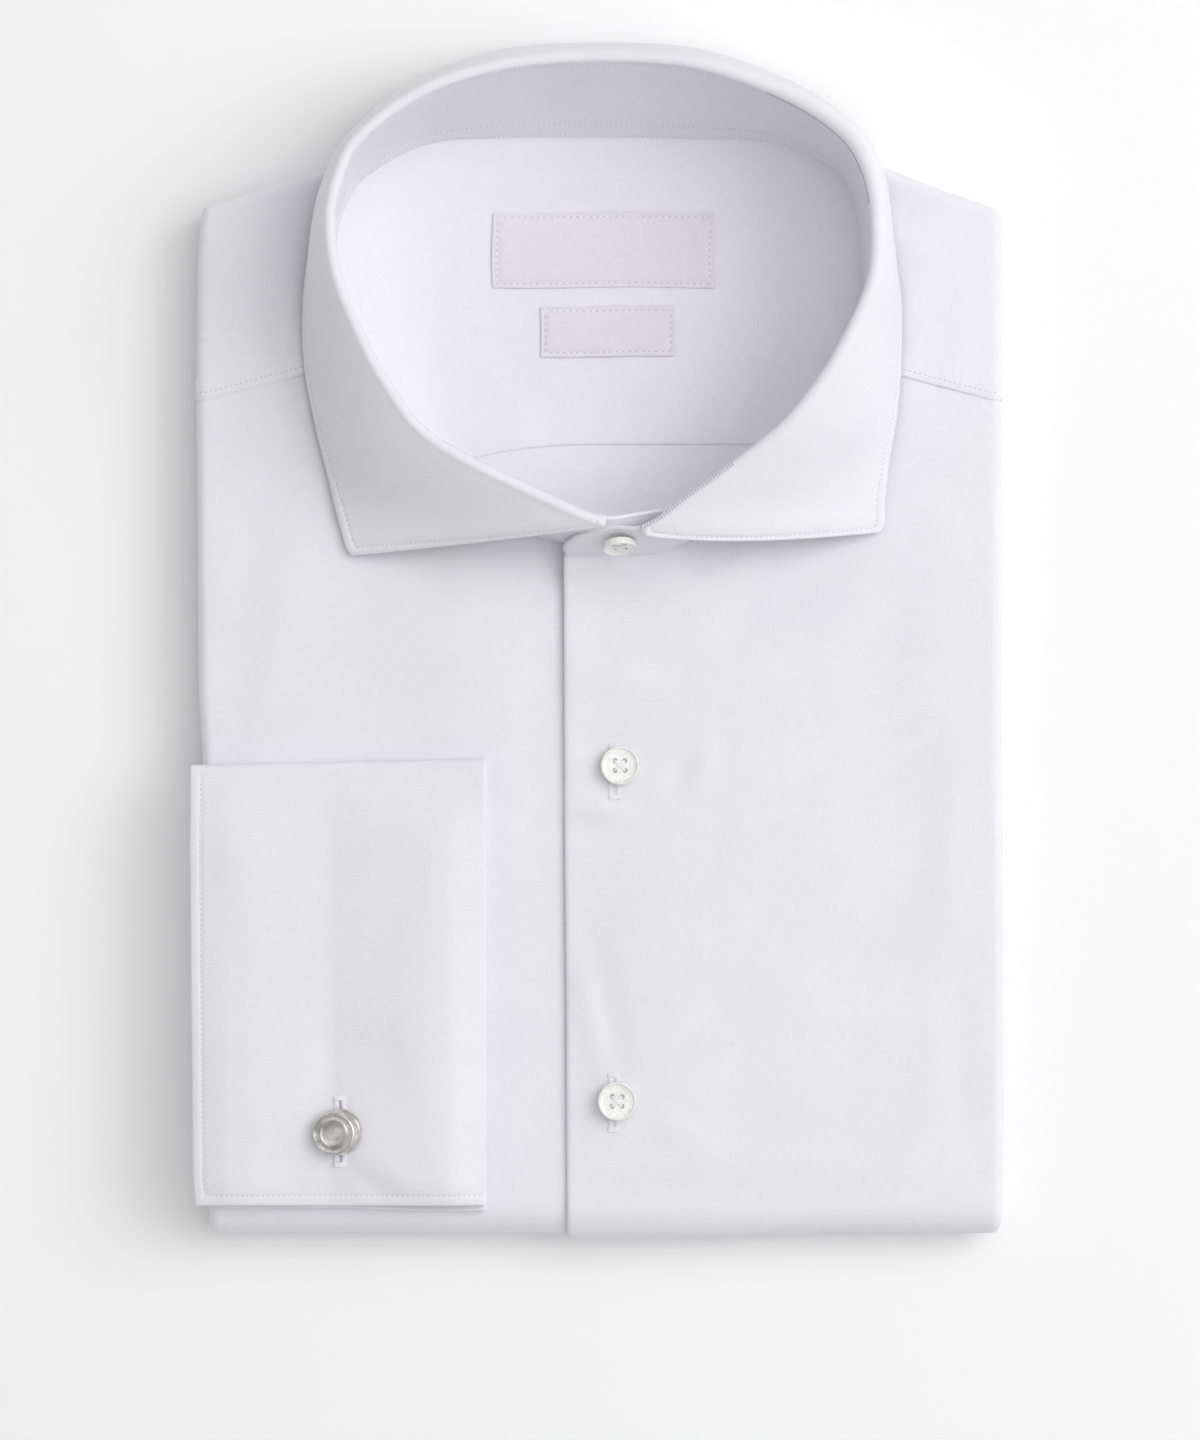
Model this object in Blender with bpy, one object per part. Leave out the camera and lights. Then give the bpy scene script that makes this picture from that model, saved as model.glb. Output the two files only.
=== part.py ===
"""Long sleeve dress shirt, folded flat: cutaway collar standing up, double cuff laid on the front.

Lengths below are millimetres. +X is the wearer's left, +Y runs towards the collar, +Z is up, and
the shirt lies on its folded back at z = 0. Every cloth piece is a closed wall between two grids of
points, and each layer is worked out from the layer that carries it, moved out by a gap.
"""

import math

import bmesh
import bpy
import numpy as np
from mathutils import Matrix, Vector

for item in list(bpy.data.objects):
    bpy.data.objects.remove(item, do_unlink=True)

MM = 0.001
BOX_CENTRE = (0.2, 1.4, 0.0)    # middle of the whole shirt's box, moved to the origin

# Walls and seams
CLOTH = 1.2             # one panel with its turnings
BAND = 1.3              # interlined collar stand
PLY = 1.0               # one interlined cuff layer
GAP = 0.3               # between pieces that are sewn or lie on each other
PANEL = GAP + CLOTH     # what one panel adds to the height below it

# Folded pack
CORE_TOP = 17.0         # hidden layers, front part
ROLL = 7.0              # radius of the hidden layers' bottom fold
ROLL_Y = -156.9         # where the bottom fold starts to turn under
ROLL_Z = CORE_TOP - ROLL
EDGE_ROUND = 3.0        # outer radius of a panel's side fold
EDGE_DEPTH = 6.5        # how far a front turns down at the side
UNDER_EDGE = 20.0       # x of the under front's edge, below the other front
STEP_WIDTH = 8.0        # the over front comes down beside that edge in this width
TAB_REACH = 14.0        # left of this x the over front ends straight, below the over tab
TAB_FOOT_Y = 22.0
NECK = (0.4, 83.0)      # middle of the neck opening
NECK_DISH = 28.0        # the shoulders sink towards the neck seam over this width
WELL_FLOOR = 5.0        # hidden layers under the inside back
WELL_START = 0.62       # the well's side starts at this share of the neck's radius
WELL_START_FRONT = 0.2  # and this much further out at the front
DISH_CLEAR = 1.1        # more room under a panel where both curve
DISH_EASE = 1.5         # that room grows in over this height
NECK_CLEAR = 0.7        # more room between the stand and the panels outside it
LEAN_CLEAR = 1.6        # and for each millimetre that the stand leans on the way up
PLUG_INSET = 0.8        # the hidden layers' bottom fold stays inside the fronts' side folds

# Collar
STAND_DROP = 2.4        # the stand ends this far below the fold's crest
FOLD_RADIUS = 1.7       # roll of the fall over the stand
FALL_LAYER = 1.1
STAND_BOW = 0.8         # the stand bows outwards between foot and crest
TAB_LEAN = 2.0          # the over tab is buttoned back by this much at its top
TAB_EASE = 0.4          # and comes to that lean within this share of a station
FALL_SWELL = 1.8        # the fall bellies out between fold and edge
FALL_OPEN_Y = 131.0     # past this y the fall hangs free, off the pack

# Buttons and cufflink
BUTTON_RADIUS = 5.4
COLLAR_BUTTON_RADIUS = 4.7
COLLAR_BUTTON_RISE = 0.76   # its place up the over tab, as a share of the tab's height
BUTTON_HEIGHT = 2.1
HOLE_PITCH = 2.7
HOLE_RADIUS = 0.65
HOLE_SIDES = 8
BUTTON_PROFILE = [      # columns: radius and height, as shares of the button's own
    (0.5, 0.17), (0.8, 0.0), (1.0, 0.24), (1.0, 0.8), (0.9, 1.0), (0.78, 1.0), (0.66, 0.68)]
FRONT_BUTTONS = [(6.1, -33.9), (5.3, -127.7)]
SHANK = 0.5             # thread under a button
LINK = (-71.9, -135.7)
LINK_LIFT = 2.3         # the cuff lies over the link's toggle
LINK_REACH = 26.0
LINK_FACE_RADIUS = 6.0
TOGGLE_RADIUS = 4.6
TOGGLE_HEIGHT = 1.2
POST_RADIUS = 0.9
LINK_PROFILE = [        # the tilted face. columns: x, y, height over the cuff, radius share, tilt
    (0.0, 0.0, 0.9, 0.93, -4.0), (0.0, 0.0, 1.5, 1.06, -6.0), (-0.3, -0.1, 2.0, 1.06, -8.0),
    (-0.8, -0.2, 2.4, 1.0, -9.0), (-1.5, -0.4, 3.4, 1.0, -9.0), (-1.6, -0.4, 3.7, 0.94, -9.0),
    (-1.6, -0.4, 3.7, 0.70, -9.0), (-1.6, -0.4, 3.4, 0.62, -9.0)]
SLOT = (2.6, 12.0)      # buttonhole in the cuff, across and along

# Collar stations, from the under tab round the back to the over tab.
# columns: seam x, seam y, seam z, fold x, fold y, fold z, edge x, edge y, edge z
# seam is the foot of the stand, fold the crest, edge the free edge of the fall.
STATIONS = np.array([
    (16.1, 29.8, 17.3, 15.0, 37.4, 40.0, -60.0, 24.0, 21.0),
    (0.1, 29.3, 17.3, 2.0, 35.4, 44.0, -68.7, 25.1, 21.0),
    (-19.0, 32.0, 17.3, -13.7, 41.4, 46.0, -72.4, 35.0, 21.0),
    (-48.0, 44.2, 17.3, -44.1, 56.9, 49.5, -75.3, 46.5, 21.0),
    (-63.3, 57.4, 16.5, -56.4, 71.4, 50.5, -79.1, 61.5, 20.5),
    (-70.9, 75.7, 15.3, -64.9, 87.3, 51.5, -82.3, 79.2, 19.5),
    (-74.0, 95.5, 13.8, -70.4, 102.0, 52.0, -82.4, 98.1, 18.5),
    (-73.3, 113.0, 12.6, -72.0, 116.8, 52.0, -79.7, 115.2, 17.3),
    (-70.0, 124.5, 11.5, -69.3, 129.3, 51.0, -76.0, 129.0, 16.6),
    (-63.5, 132.3, 10.5, -64.0, 138.5, 50.0, -70.5, 139.8, 13.5),
    (-47.2, 140.7, 8.6, -47.6, 150.6, 48.0, -54.8, 155.6, 5.0),
    (-24.7, 142.2, 7.6, -25.8, 157.8, 46.0, -29.0, 167.0, 2.6),
    (-0.2, 142.2, 7.3, -0.2, 160.1, 45.0, -0.2, 169.4, 2.0),
    (26.0, 141.9, 7.6, 26.0, 158.2, 46.0, 28.9, 167.4, 2.6),
    (48.5, 140.9, 8.6, 49.4, 150.0, 48.0, 56.6, 156.0, 5.0),
    (65.9, 133.5, 10.5, 65.4, 139.8, 50.0, 72.8, 140.6, 13.5),
    (71.8, 125.0, 11.5, 72.0, 130.0, 51.0, 78.8, 130.0, 16.6),
    (73.7, 113.0, 12.6, 74.6, 117.6, 52.0, 81.5, 115.7, 17.3),
    (74.2, 96.9, 13.8, 74.1, 101.5, 52.0, 84.8, 98.1, 18.5),
    (71.4, 77.1, 15.3, 68.1, 86.4, 51.5, 85.0, 79.2, 19.5),
    (64.0, 58.8, 16.5, 59.6, 72.0, 50.5, 83.8, 64.3, 20.5),
    (50.2, 44.6, 17.3, 47.9, 58.6, 49.5, 81.8, 53.0, 21.0),
    (27.0, 30.6, 18.6, 25.4, 41.7, 46.0, 80.2, 41.5, 21.0),
    (13.2, 25.6, 18.8, 11.9, 32.7, 44.0, 78.0, 31.2, 21.0),
    (-8.3, 24.0, 18.8, -8.8, 28.4, 35.0, 60.0, 30.0, 21.0),
])
FALL_FIRST = 1          # station where the fall starts, at the left point
FALL_LAST = 23          # and where it ends, at the right point

# Sides of the pack. columns: y, x of the outer surface
LEFT_SIDE = np.array([(-166.0, -108.5), (-158.0, -109.0), (-33.0, -110.7), (-15.0, -111.8),
                      (12.7, -112.1), (69.0, -112.5), (108.0, -112.2), (123.0, -111.2)])
RIGHT_SIDE = np.array([(-166.0, 112.6), (-158.0, 113.4), (-128.0, 113.9), (-15.0, 113.2),
                       (69.0, 113.2), (122.0, 113.3)])

# Outer yoke, from the left front seam over the shoulder fold to the right one.
# columns: angle round the neck in degrees, outer x, outer y, how far the edge turns down (0 to 1)
YOKE = np.array([
    (183.0, -112.5, 69.4, 0.0), (177.0, -112.4, 88.0, 0.0), (168.0, -112.2, 108.0, 0.0),
    (162.0, -111.4, 119.0, 0.0), (160.0, -110.4, 123.2, 1.0), (153.5, -92.0, 129.0, 1.0),
    (145.5, -74.4, 134.4, 1.0), (131.0, -52.0, 145.0, 1.0), (112.0, -26.0, 149.0, 1.0),
    (90.0, 0.7, 150.0, 1.0), (68.0, 27.0, 149.0, 1.0), (49.0, 53.0, 145.0, 1.0),
    (34.0, 77.5, 135.5, 1.0), (26.0, 93.7, 128.5, 1.0), (19.5, 112.6, 122.0, 1.0),
    (17.5, 113.3, 118.0, 0.0), (5.0, 113.2, 92.0, 0.0), (-3.0, 113.2, 69.4, 0.0),
])
CORNERS = (3, 5, 13, 15)    # rows of that table where the side turns into the shoulder and back
SHOULDER = YOKE[4:15, 1:3]
SEAM_SIDE_Y = 69.4          # the front yoke seams reach the sides here
SEAM_CLEAR = 0.35

# Edge of the hidden layers. columns: height as a share of the pack, inset at the layered sides,
# inset under the shoulder fold
LAYER_EDGE = [(1.0, 3.5, 3.2), (0.97, 2.3, 2.4), (0.894, 1.6, 1.8), (0.7, 1.6, 1.8),
              (0.665, 2.0, 1.8), (0.63, 0.5, 1.8), (0.52, 0.0, 1.8), (0.40, 0.5, 1.8),
              (0.365, 2.0, 1.8), (0.33, 0.5, 1.8), (0.19, 0.0, 1.8), (0.05, 0.6, 2.0),
              (0.0, 2.2, 3.4)]

# Cuff, folded round so that its two ends kiss at the bottom
CUFF_LEFT = np.array([(-156.2, -111.9), (-149.0, -112.6), (-99.0, -113.1), (-57.0, -113.5),
                      (-33.0, -113.3)])    # columns: y, x of the turned-back edge
CUFF_HAND = -31.0       # x of the fold at the hand
CUFF_INNER = -106.0     # x where the inner layer meets the sleeve
CUFF_END = -156.2       # y of the stitched ends
CUFF_TOP = (-33.6, -31.8)   # y of the long fold, at the left and at the hand
CUFF_HALF = 2.55        # half of the four layers and their gaps
CUFF_INSIDE = 0.25
SLEEVE_WALL = 1.8

LABELS = {"label_large": (-29.5, 32.8, 101.1, 121.9), "label_small": (-16.0, 21.5, 81.6, 95.4)}
LABEL_WALL = 1.0


def smooth(t):
    """Ease from 0 to 1 with level ends."""
    t = np.clip(t, 0.0, 1.0)
    return t * t * (3.0 - 2.0 * t)


def through(rows, at):
    """Catmull-Rom curve through the rows, read at fractional row numbers."""
    at = np.clip(np.asarray(at, float), 0, len(rows) - 1)
    i = np.minimum(at.astype(int), len(rows) - 2)
    f = (at - i)[:, None]
    a = rows[np.maximum(i - 1, 0)]
    b = rows[i]
    c = rows[i + 1]
    d = rows[np.minimum(i + 2, len(rows) - 1)]
    return 0.5 * (2 * b + (c - a) * f + (2 * a - 5 * b + 4 * c - d) * f ** 2
                  + (3 * b - a - 3 * c + d) * f ** 3)


def material(name, colour, roughness, metallic=0.0):
    """Principled material with the piece's own finish."""
    made = bpy.data.materials.new(name)
    made.use_nodes = True
    shader = made.node_tree.nodes["Principled BSDF"]
    shader.inputs["Base Color"].default_value = (*colour, 1.0)
    shader.inputs["Roughness"].default_value = roughness
    shader.inputs["Metallic"].default_value = metallic
    return made


def solid(name, points, faces, finish, origin=BOX_CENTRE):
    """One closed object from points in millimetres, faces turned outwards."""
    mesh = bpy.data.meshes.new(name)
    mesh.from_pydata(((np.asarray(points) - origin) * MM).tolist(), [], faces)
    work = bmesh.new()
    work.from_mesh(mesh)
    bmesh.ops.recalc_face_normals(work, faces=work.faces[:])
    work.to_mesh(mesh)
    work.free()
    mesh.shade_smooth()
    mesh.set_sharp_from_angle(angle=math.radians(50))
    made = bpy.data.objects.new(name, mesh)
    bpy.context.collection.objects.link(made)
    mesh.materials.append(material(name + "_finish", *finish))
    return made


def wall(name, outer, inner, finish):
    """Closed wall between two grids of points: both faces and the strip round their rims."""
    rows, cols = outer.shape[:2]
    ids = np.arange(rows * cols).reshape(rows, cols)
    a, b, c, d = (part.ravel() for part in (ids[:-1, :-1], ids[:-1, 1:], ids[1:, 1:], ids[1:, :-1]))
    flat = outer.reshape(-1, 3)
    shorter = np.linalg.norm(flat[a] - flat[c], axis=1) <= np.linalg.norm(flat[b] - flat[d], axis=1)
    first = np.where(shorter, (a, b, c), (a, b, d)).T
    second = np.where(shorter, (a, c, d), (b, c, d)).T
    halves = np.concatenate([first, second])        # both faces share their diagonals
    rim = np.concatenate([ids[0, :-1], ids[:-1, -1], ids[-1, :0:-1], ids[:0:-1, 0]])
    after = np.roll(rim, -1)
    back = rows * cols
    sides = np.stack([after, rim, rim + back, after + back], -1)
    faces = halves.tolist() + (halves[:, ::-1] + back).tolist() + sides.tolist()
    points = np.concatenate([outer.reshape(-1, 3), inner.reshape(-1, 3)])
    return solid(name, points, faces, finish)


def grid_normals(grid):
    """Unit normals of a grid of points."""
    across = np.gradient(grid, axis=0)
    along = np.gradient(grid, axis=1)
    normal = np.cross(across, along)
    return normal / np.linalg.norm(normal, axis=2, keepdims=True)


# Neck seam as radius and height round the neck, and how far the stand leans out there.
seam_run = through(STATIONS[FALL_FIRST:FALL_LAST + 1], np.linspace(0, FALL_LAST - FALL_FIRST, 177))
seam_away = seam_run[:, 0:2] - NECK
fold_away = seam_run[:, 3:5] - NECK
seam_angle = np.arctan2(seam_away[:, 1], seam_away[:, 0])
seam_radius = np.hypot(seam_away[:, 0], seam_away[:, 1])
seam_height = np.minimum(seam_run[:, 2], CORE_TOP + GAP) - GAP
seam_lean = (np.hypot(fold_away[:, 0], fold_away[:, 1]) - seam_radius) / (seam_run[:, 5] - seam_run[:, 2])


def round_neck(values, angle):
    """A value along the neck seam, read at an angle."""
    return np.interp(angle, seam_angle, values, period=2 * math.pi)


def core_top(x, y):
    """Top of the hidden layers' own solid, a little lower where it curves under a panel."""
    level = hidden_top(x, y)
    return level - DISH_CLEAR * smooth((CORE_TOP - level) / DISH_EASE)


def hidden_top(x, y):
    """Top of the hidden layers: level, dished to the neck seam, and a shallow well inside it."""
    dx = np.asarray(x, float) - NECK[0]
    dy = np.asarray(y, float) - NECK[1]
    angle = np.arctan2(dy, dx)
    away = np.hypot(dx, dy)
    radius = round_neck(seam_radius, angle)
    height = round_neck(seam_height, angle)
    outside = height + (CORE_TOP - height) * smooth((away - radius) / NECK_DISH)
    start = WELL_START + WELL_START_FRONT * np.clip(-np.sin(angle), 0, 1)
    inside = WELL_FLOOR + (height - WELL_FLOOR) * smooth((away / radius - start) / (1 - start))
    return np.where(away > radius, outside, inside)


def neck_outside(angle):
    """Where panels outside the neck end, clear of the stand's outer face."""
    lean = np.maximum(round_neck(seam_lean, angle), 0)
    radius = round_neck(seam_radius, angle) + BAND + GAP + NECK_CLEAR + LEAN_CLEAR * lean
    return NECK[0] + radius * np.cos(angle), NECK[1] + radius * np.sin(angle)


def neck_inside(angle):
    """Where panels inside the neck end, clear of the stand's inner face."""
    lean = np.maximum(-round_neck(seam_lean, angle), 0)
    radius = round_neck(seam_radius, angle) - SEAM_CLEAR - LEAN_CLEAR * lean
    return NECK[0] + radius * np.cos(angle), NECK[1] + radius * np.sin(angle)


def side_x(table, y):
    """x of a side's outer surface at y."""
    return np.interp(y, table[:, 0], table[:, 1])


def folded_layers():
    """The hidden layers in one solid: rings from the middle of the well out and down the edge."""
    edge = []                       # x, y, inward x, inward y, layered side (1) or not, bottom fold
    side_rows = (-156.3, -153.0, -135, -105, -75, -45, -15, 15, 42, 64, 80, 95, 107, 113)
    for y in side_rows:
        edge.append((side_x(LEFT_SIDE, y), y, 1, 0, float(y > -156), 0))
    edge.append((-111.4, 117.5, 1, 0, 0, 0))
    edge.append((*SHOULDER[0], 1, -0.9, 0, 0))
    for x in (-100, -88, -74.4, -63, -52, -39, -26, -13, 0.7, 14, 27, 40, 53, 65, 77.5, 88, 101):
        edge.append((x, np.interp(x, SHOULDER[:, 0], SHOULDER[:, 1]), 0, -1.05, 0, 0))
    edge.append((*SHOULDER[-1], -1, -0.9, 0, 0))
    edge.append((113.3, 117.0, -1, 0, 0, 0))
    for y in side_rows[::-1]:
        edge.append((side_x(RIGHT_SIDE, y), y, -1, 0, float(y > -156), 0))
    inner_left = side_x(LEFT_SIDE, ROLL_Y) + EDGE_ROUND + PLUG_INSET
    inner_right = side_x(RIGHT_SIDE, ROLL_Y) - EDGE_ROUND - PLUG_INSET
    for x in np.linspace(inner_right, inner_left, 12):
        edge.append((x, ROLL_Y, 0, 0, 0, 1))
    edge = np.array(edge)
    layered = edge[:, 4]
    bottom = edge[:, 5] > 0.5
    shares = np.array([row[0] for row in LAYER_EDGE])
    turn = np.linspace(0, math.pi, len(LAYER_EDGE) - 2)
    height = core_top(edge[:, 0] + 4 * edge[:, 2], edge[:, 1] + 4 * edge[:, 3])
    rings = []
    for k, (share, at_side, at_shoulder) in enumerate(LAYER_EDGE):
        inset = at_side * layered + at_shoulder * (1 - layered)
        ring = np.stack([edge[:, 0] + inset * edge[:, 2], edge[:, 1] + inset * edge[:, 3],
                         height * share], -1)
        if k < len(turn):
            ring[bottom, 1] = ROLL_Y - ROLL * math.sin(turn[k])
            ring[bottom, 2] = ROLL_Z + ROLL * math.cos(turn[k])
        else:
            ring[bottom, 1] = ROLL_Y + 0.5
            ring[bottom, 2] = (ROLL_Z - ROLL) * (shares[k] > 0)
        rings.append(ring)
    start = rings[0]
    angle = np.arctan2(start[:, 1] - NECK[1], start[:, 0] - NECK[0])
    radius = round_neck(seam_radius, angle)
    seam = np.stack([NECK[0] + radius * np.cos(angle), NECK[1] + radius * np.sin(angle)], -1)
    top = []
    for f in (0.2, 0.5, 0.64, 0.76, 0.86, 0.94, 1.0):          # from the middle to the seam
        plan = NECK + (seam - NECK) * f
        top.append(np.column_stack([plan, core_top(plan[:, 0], plan[:, 1])]))
    for f in (0.25, 0.6):                                      # from the seam to the edge
        plan = seam + (start[:, :2] - seam) * f
        top.append(np.column_stack([plan, core_top(plan[:, 0], plan[:, 1])]))
    rings = top + rings
    count = len(edge)
    points = np.concatenate(rings + [[(*NECK, WELL_FLOOR - DISH_CLEAR), (*NECK, 0.0)]])
    ids = np.arange(count)
    after = np.roll(ids, -1)
    faces = []
    for k in range(len(rings) - 1):
        a = k * count
        b = a + count
        faces += np.stack([ids + a, after + a, after + b, ids + b], -1).tolist()
    last = (len(rings) - 1) * count
    middle = len(rings) * count
    faces += [(int(after[i]), int(ids[i]), middle) for i in ids]
    faces += [(int(ids[i]) + last, int(after[i]) + last, middle + 1) for i in ids]
    solid("folded_layers", points, faces, ((0.62, 0.61, 0.66), 0.8))


def front_path(x, y, lift, turn):
    """A point on a front: over the hidden layers, or round the bottom fold where turn > 0."""
    level = np.stack([x, y, hidden_top(x, np.maximum(y, ROLL_Y)) + lift], -1)
    folded = np.stack([x, ROLL_Y - (ROLL + lift) * np.sin(turn),
                       ROLL_Z + (ROLL + lift) * np.cos(turn)], -1)
    return np.where((turn > 0)[..., None], folded, level)


def front(name, side, edge_x, stops, neck_line, raised):
    """A front panel: level part, side fold, and the turn round the bottom fold.

    side is the table of its side, edge_x its front edge, stops the shares of its width where
    columns stand, neck_line gives the top y at x, raised its extra height at x.
    """
    out = np.sign(side[0, 1])
    down = np.array([0.0, 0.035, 0.08, 0.15, 0.3, 0.5, 0.75, 1.0])
    turns = np.linspace(0, math.pi, 8)[1:]
    rows = len(down) + len(turns)
    fold = np.linspace(0, math.pi / 2, 4)[1:]
    grids = []
    for face in (0.0, CLOTH):
        radius = EDGE_ROUND - face
        over = np.concatenate([np.zeros(len(stops)), radius * np.sin(fold), [radius, radius]])
        drop = np.concatenate([np.zeros(len(stops)), radius * (1 - np.cos(fold)),
                               [0.65 * EDGE_DEPTH - face, EDGE_DEPTH - face]])
        share = np.concatenate([stops, np.ones(len(fold) + 2)])
        cols = len(share)
        turn = np.zeros((rows, cols))
        turn[len(down):] = turns[:, None]
        near = edge_x(np.full(cols, SEAM_SIDE_Y))
        far = side_x(side, SEAM_SIDE_Y) - out * EDGE_ROUND
        start = neck_line(near + share * (far - near))
        y = np.full((rows, cols), ROLL_Y)
        y[:len(down)] = start + (ROLL_Y - start) * down[:, None]
        first = edge_x(y)
        last = side_x(side, y) - out * EDGE_ROUND
        plan = first + share * (last - first)
        lift = PANEL + raised(plan) - face - drop
        point = front_path(plan, y, lift, turn)
        point[..., 0] += out * over
        grids.append(point)
    wall(name, grids[0], grids[1], ((0.76, 0.76, 0.80), 0.75))


def neck_line_of(first, last, seam_angle_deg):
    """Top edge of a front: along the neck, then down the front yoke seam to the side."""
    neck_x, neck_y = neck_outside(np.radians(np.linspace(first, last, 60)))
    order = np.argsort(neck_x)
    seam_x, seam_y = neck_outside(np.radians(seam_angle_deg))
    reach = abs(seam_x)
    far = side_x(RIGHT_SIDE if seam_x > 0 else LEFT_SIDE, SEAM_SIDE_Y)

    def line(x):
        along = np.interp(x, neck_x[order], neck_y[order])
        seam = np.interp(np.abs(x), [reach, abs(far) - EDGE_ROUND], [seam_y, SEAM_SIDE_Y]) - SEAM_CLEAR
        return np.where(np.abs(x) > reach, seam, np.minimum(along, seam))
    return line


def fronts():
    """Under front (wearer's right), then the over front with its straight edge."""
    under = neck_line_of(184, 300, 183)
    front("front_right", LEFT_SIDE, lambda y: np.full(np.shape(y), UNDER_EDGE),
          np.array([0, 0.12, 0.26, 0.4, 0.52, 0.62, 0.68, 0.72, 0.78, 0.88, 1.0]),
          under, lambda x: np.zeros(np.shape(x)))
    over = neck_line_of(230, 356, -3)
    front("front_left", RIGHT_SIDE,
          lambda y: np.interp(y, [-166.0, -99.0, 20.0], [-8.6, -8.9, -9.4]),
          np.array([0, 0.1, 0.19, 0.255, 0.29, 0.325, 0.4, 0.48, 0.56, 0.63, 0.69, 0.78, 0.88, 1.0]),
          lambda x: np.where(x < TAB_REACH, np.minimum(over(x), TAB_FOOT_Y), over(x)),
          lambda x: PANEL * (1 - smooth((x - UNDER_EDGE - 1.0) / STEP_WIDTH)))


def yoke():
    """Outer yoke: a band round the back of the neck that turns down over the shoulder fold."""
    at = np.concatenate([np.linspace(0, 3, 7), [4], np.linspace(4.5, 13.5, 19), [14],
                         np.linspace(15, 17, 5)])
    rows = np.arange(len(YOKE))
    angle = np.radians(np.interp(at, rows, YOKE[:, 0]))
    outer = np.stack([np.interp(at, rows, YOKE[:, 1]), np.interp(at, rows, YOKE[:, 2])], -1)
    whole = np.interp(at, rows, YOKE[:, 3])
    neck = np.stack(neck_outside(angle), -1)
    flat = np.interp(at, CORNERS, [1, 0, 0, 1])[:, None]
    across = np.stack([-np.sign(outer[:, 0]), np.zeros(len(at))], -1)
    inward = across * flat + np.array([0.0, -1.0]) * (1 - flat)
    inward /= np.linalg.norm(inward, axis=1, keepdims=True)
    width = np.linalg.norm(neck - outer, axis=1)
    round_by = np.minimum(EDGE_ROUND, 0.55 * width)
    fold = np.linspace(0, math.pi / 2, 4)
    grids = []
    for face in (0.0, CLOTH):
        lines = []
        start = outer + inward * round_by[:, None]
        for f in (0.0, 0.25, 0.5, 0.75):
            plan = neck + (start - neck) * f
            lines.append(np.column_stack([plan, hidden_top(plan[:, 0], plan[:, 1]) + PANEL - face]))
        level = hidden_top(start[:, 0], start[:, 1]) + PANEL
        for a in fold:
            radius = round_by - face
            plan = start - inward * (radius * math.sin(a))[:, None]
            lines.append(np.column_stack([plan, level - round_by + radius * math.cos(a)]))
        depth = np.where(whole > 0, EDGE_DEPTH + (level - 1.2 - EDGE_DEPTH) * whole, EDGE_DEPTH)
        for f in (0.5, 1.0):
            plan = start - inward * (round_by - face)[:, None]
            lines.append(np.column_stack([plan, level - round_by + (round_by - depth) * f]))
        grids.append(np.stack(lines))
    wall("yoke", grids[0], grids[1], ((0.74, 0.74, 0.78), 0.75))


def inside_panel(name, ys, finish):
    """A panel seen inside the neck: rows at each y run from the neck seam to the neck seam."""
    angle = np.radians(np.linspace(-90, 270, 361))
    seam_x, seam_y = neck_inside(angle)
    right = slice(0, 181)
    left = slice(180, 361)
    order_l = np.argsort(seam_y[left])
    left_x = np.interp(ys, seam_y[left][order_l], seam_x[left][order_l])
    right_x = np.interp(ys, seam_y[right], seam_x[right])
    share = 0.5 - 0.5 * np.cos(np.linspace(0, math.pi, 15))
    x = left_x[:, None] + share * (right_x - left_x)[:, None]
    y = np.repeat(ys[:, None], len(share), 1)
    top = hidden_top(x, y) + PANEL
    outer = np.stack([x, y, top], -1)
    inner = np.stack([x, y, top - CLOTH], -1)
    wall(name, outer, inner, finish)


def collar_run(at):
    """The collar's stations read at fractional rows, with the over tab leaned back."""
    run = through(STATIONS, at)
    run[:, 4] += TAB_LEAN * smooth((at - FALL_LAST) / TAB_EASE)
    return run


def collar():
    """The stand with its two tabs, and the fall that rolls over it to the points."""
    at = np.concatenate([[0, 0.5], np.linspace(1, 23, 45), [23.2, 23.4, 23.75, 24]])
    run = collar_run(at)
    middle = 0.5 * (run[:, 0:2] + run[:, 3:5])
    along = np.gradient(middle, axis=0)
    along /= np.linalg.norm(along, axis=1, keepdims=True)
    out = np.stack([-along[:, 1], along[:, 0], np.zeros(len(at))], -1)
    foot = run[:, 0:3]
    crest = run[:, 3:6]
    head = crest - [0, 0, STAND_DROP]
    lines = []
    for f in np.linspace(0, 1, 4):
        bow = STAND_BOW * math.sin(math.pi * f)
        lines.append(foot + (head - foot) * f + out * bow)
    inner = np.stack(lines)
    wall("collar_stand", inner + out * BAND, inner, ((0.72, 0.72, 0.76), 0.75))

    part = slice(2, 47)
    crest = crest[part]
    out = out[part]
    edge = run[part, 6:9].copy()
    resting = hidden_top(edge[:, 0], edge[:, 1]) + PANEL + GAP + FALL_LAYER + 0.5
    edge[:, 2] = np.where(edge[:, 1] < FALL_OPEN_Y, np.maximum(edge[:, 2], resting), edge[:, 2])
    up = np.array([0, 0, 1.0])
    centre = crest + out * FOLD_RADIUS - up * FOLD_RADIUS
    lines = []
    for a in np.radians([180, 140, 100, 65, 34]):
        lines.append(centre + FOLD_RADIUS * (math.cos(a) * out + math.sin(a) * up))
    begin = lines[-1]
    bulge = out + 0.6 * up
    for f in (0.2, 0.4, 0.62, 0.82, 1.0):
        swell = FALL_SWELL * math.sin(math.pi * f ** 0.8)
        lines.append(begin + (edge - begin) * f + bulge * swell)
    outer = np.stack(lines)
    normal = grid_normals(outer)
    facing = np.sign(np.sum(normal[7] * (out + up), axis=1).mean())
    wall("collar_leaf", outer, outer - normal * facing * FALL_LAYER, ((0.76, 0.76, 0.80), 0.72))


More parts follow.
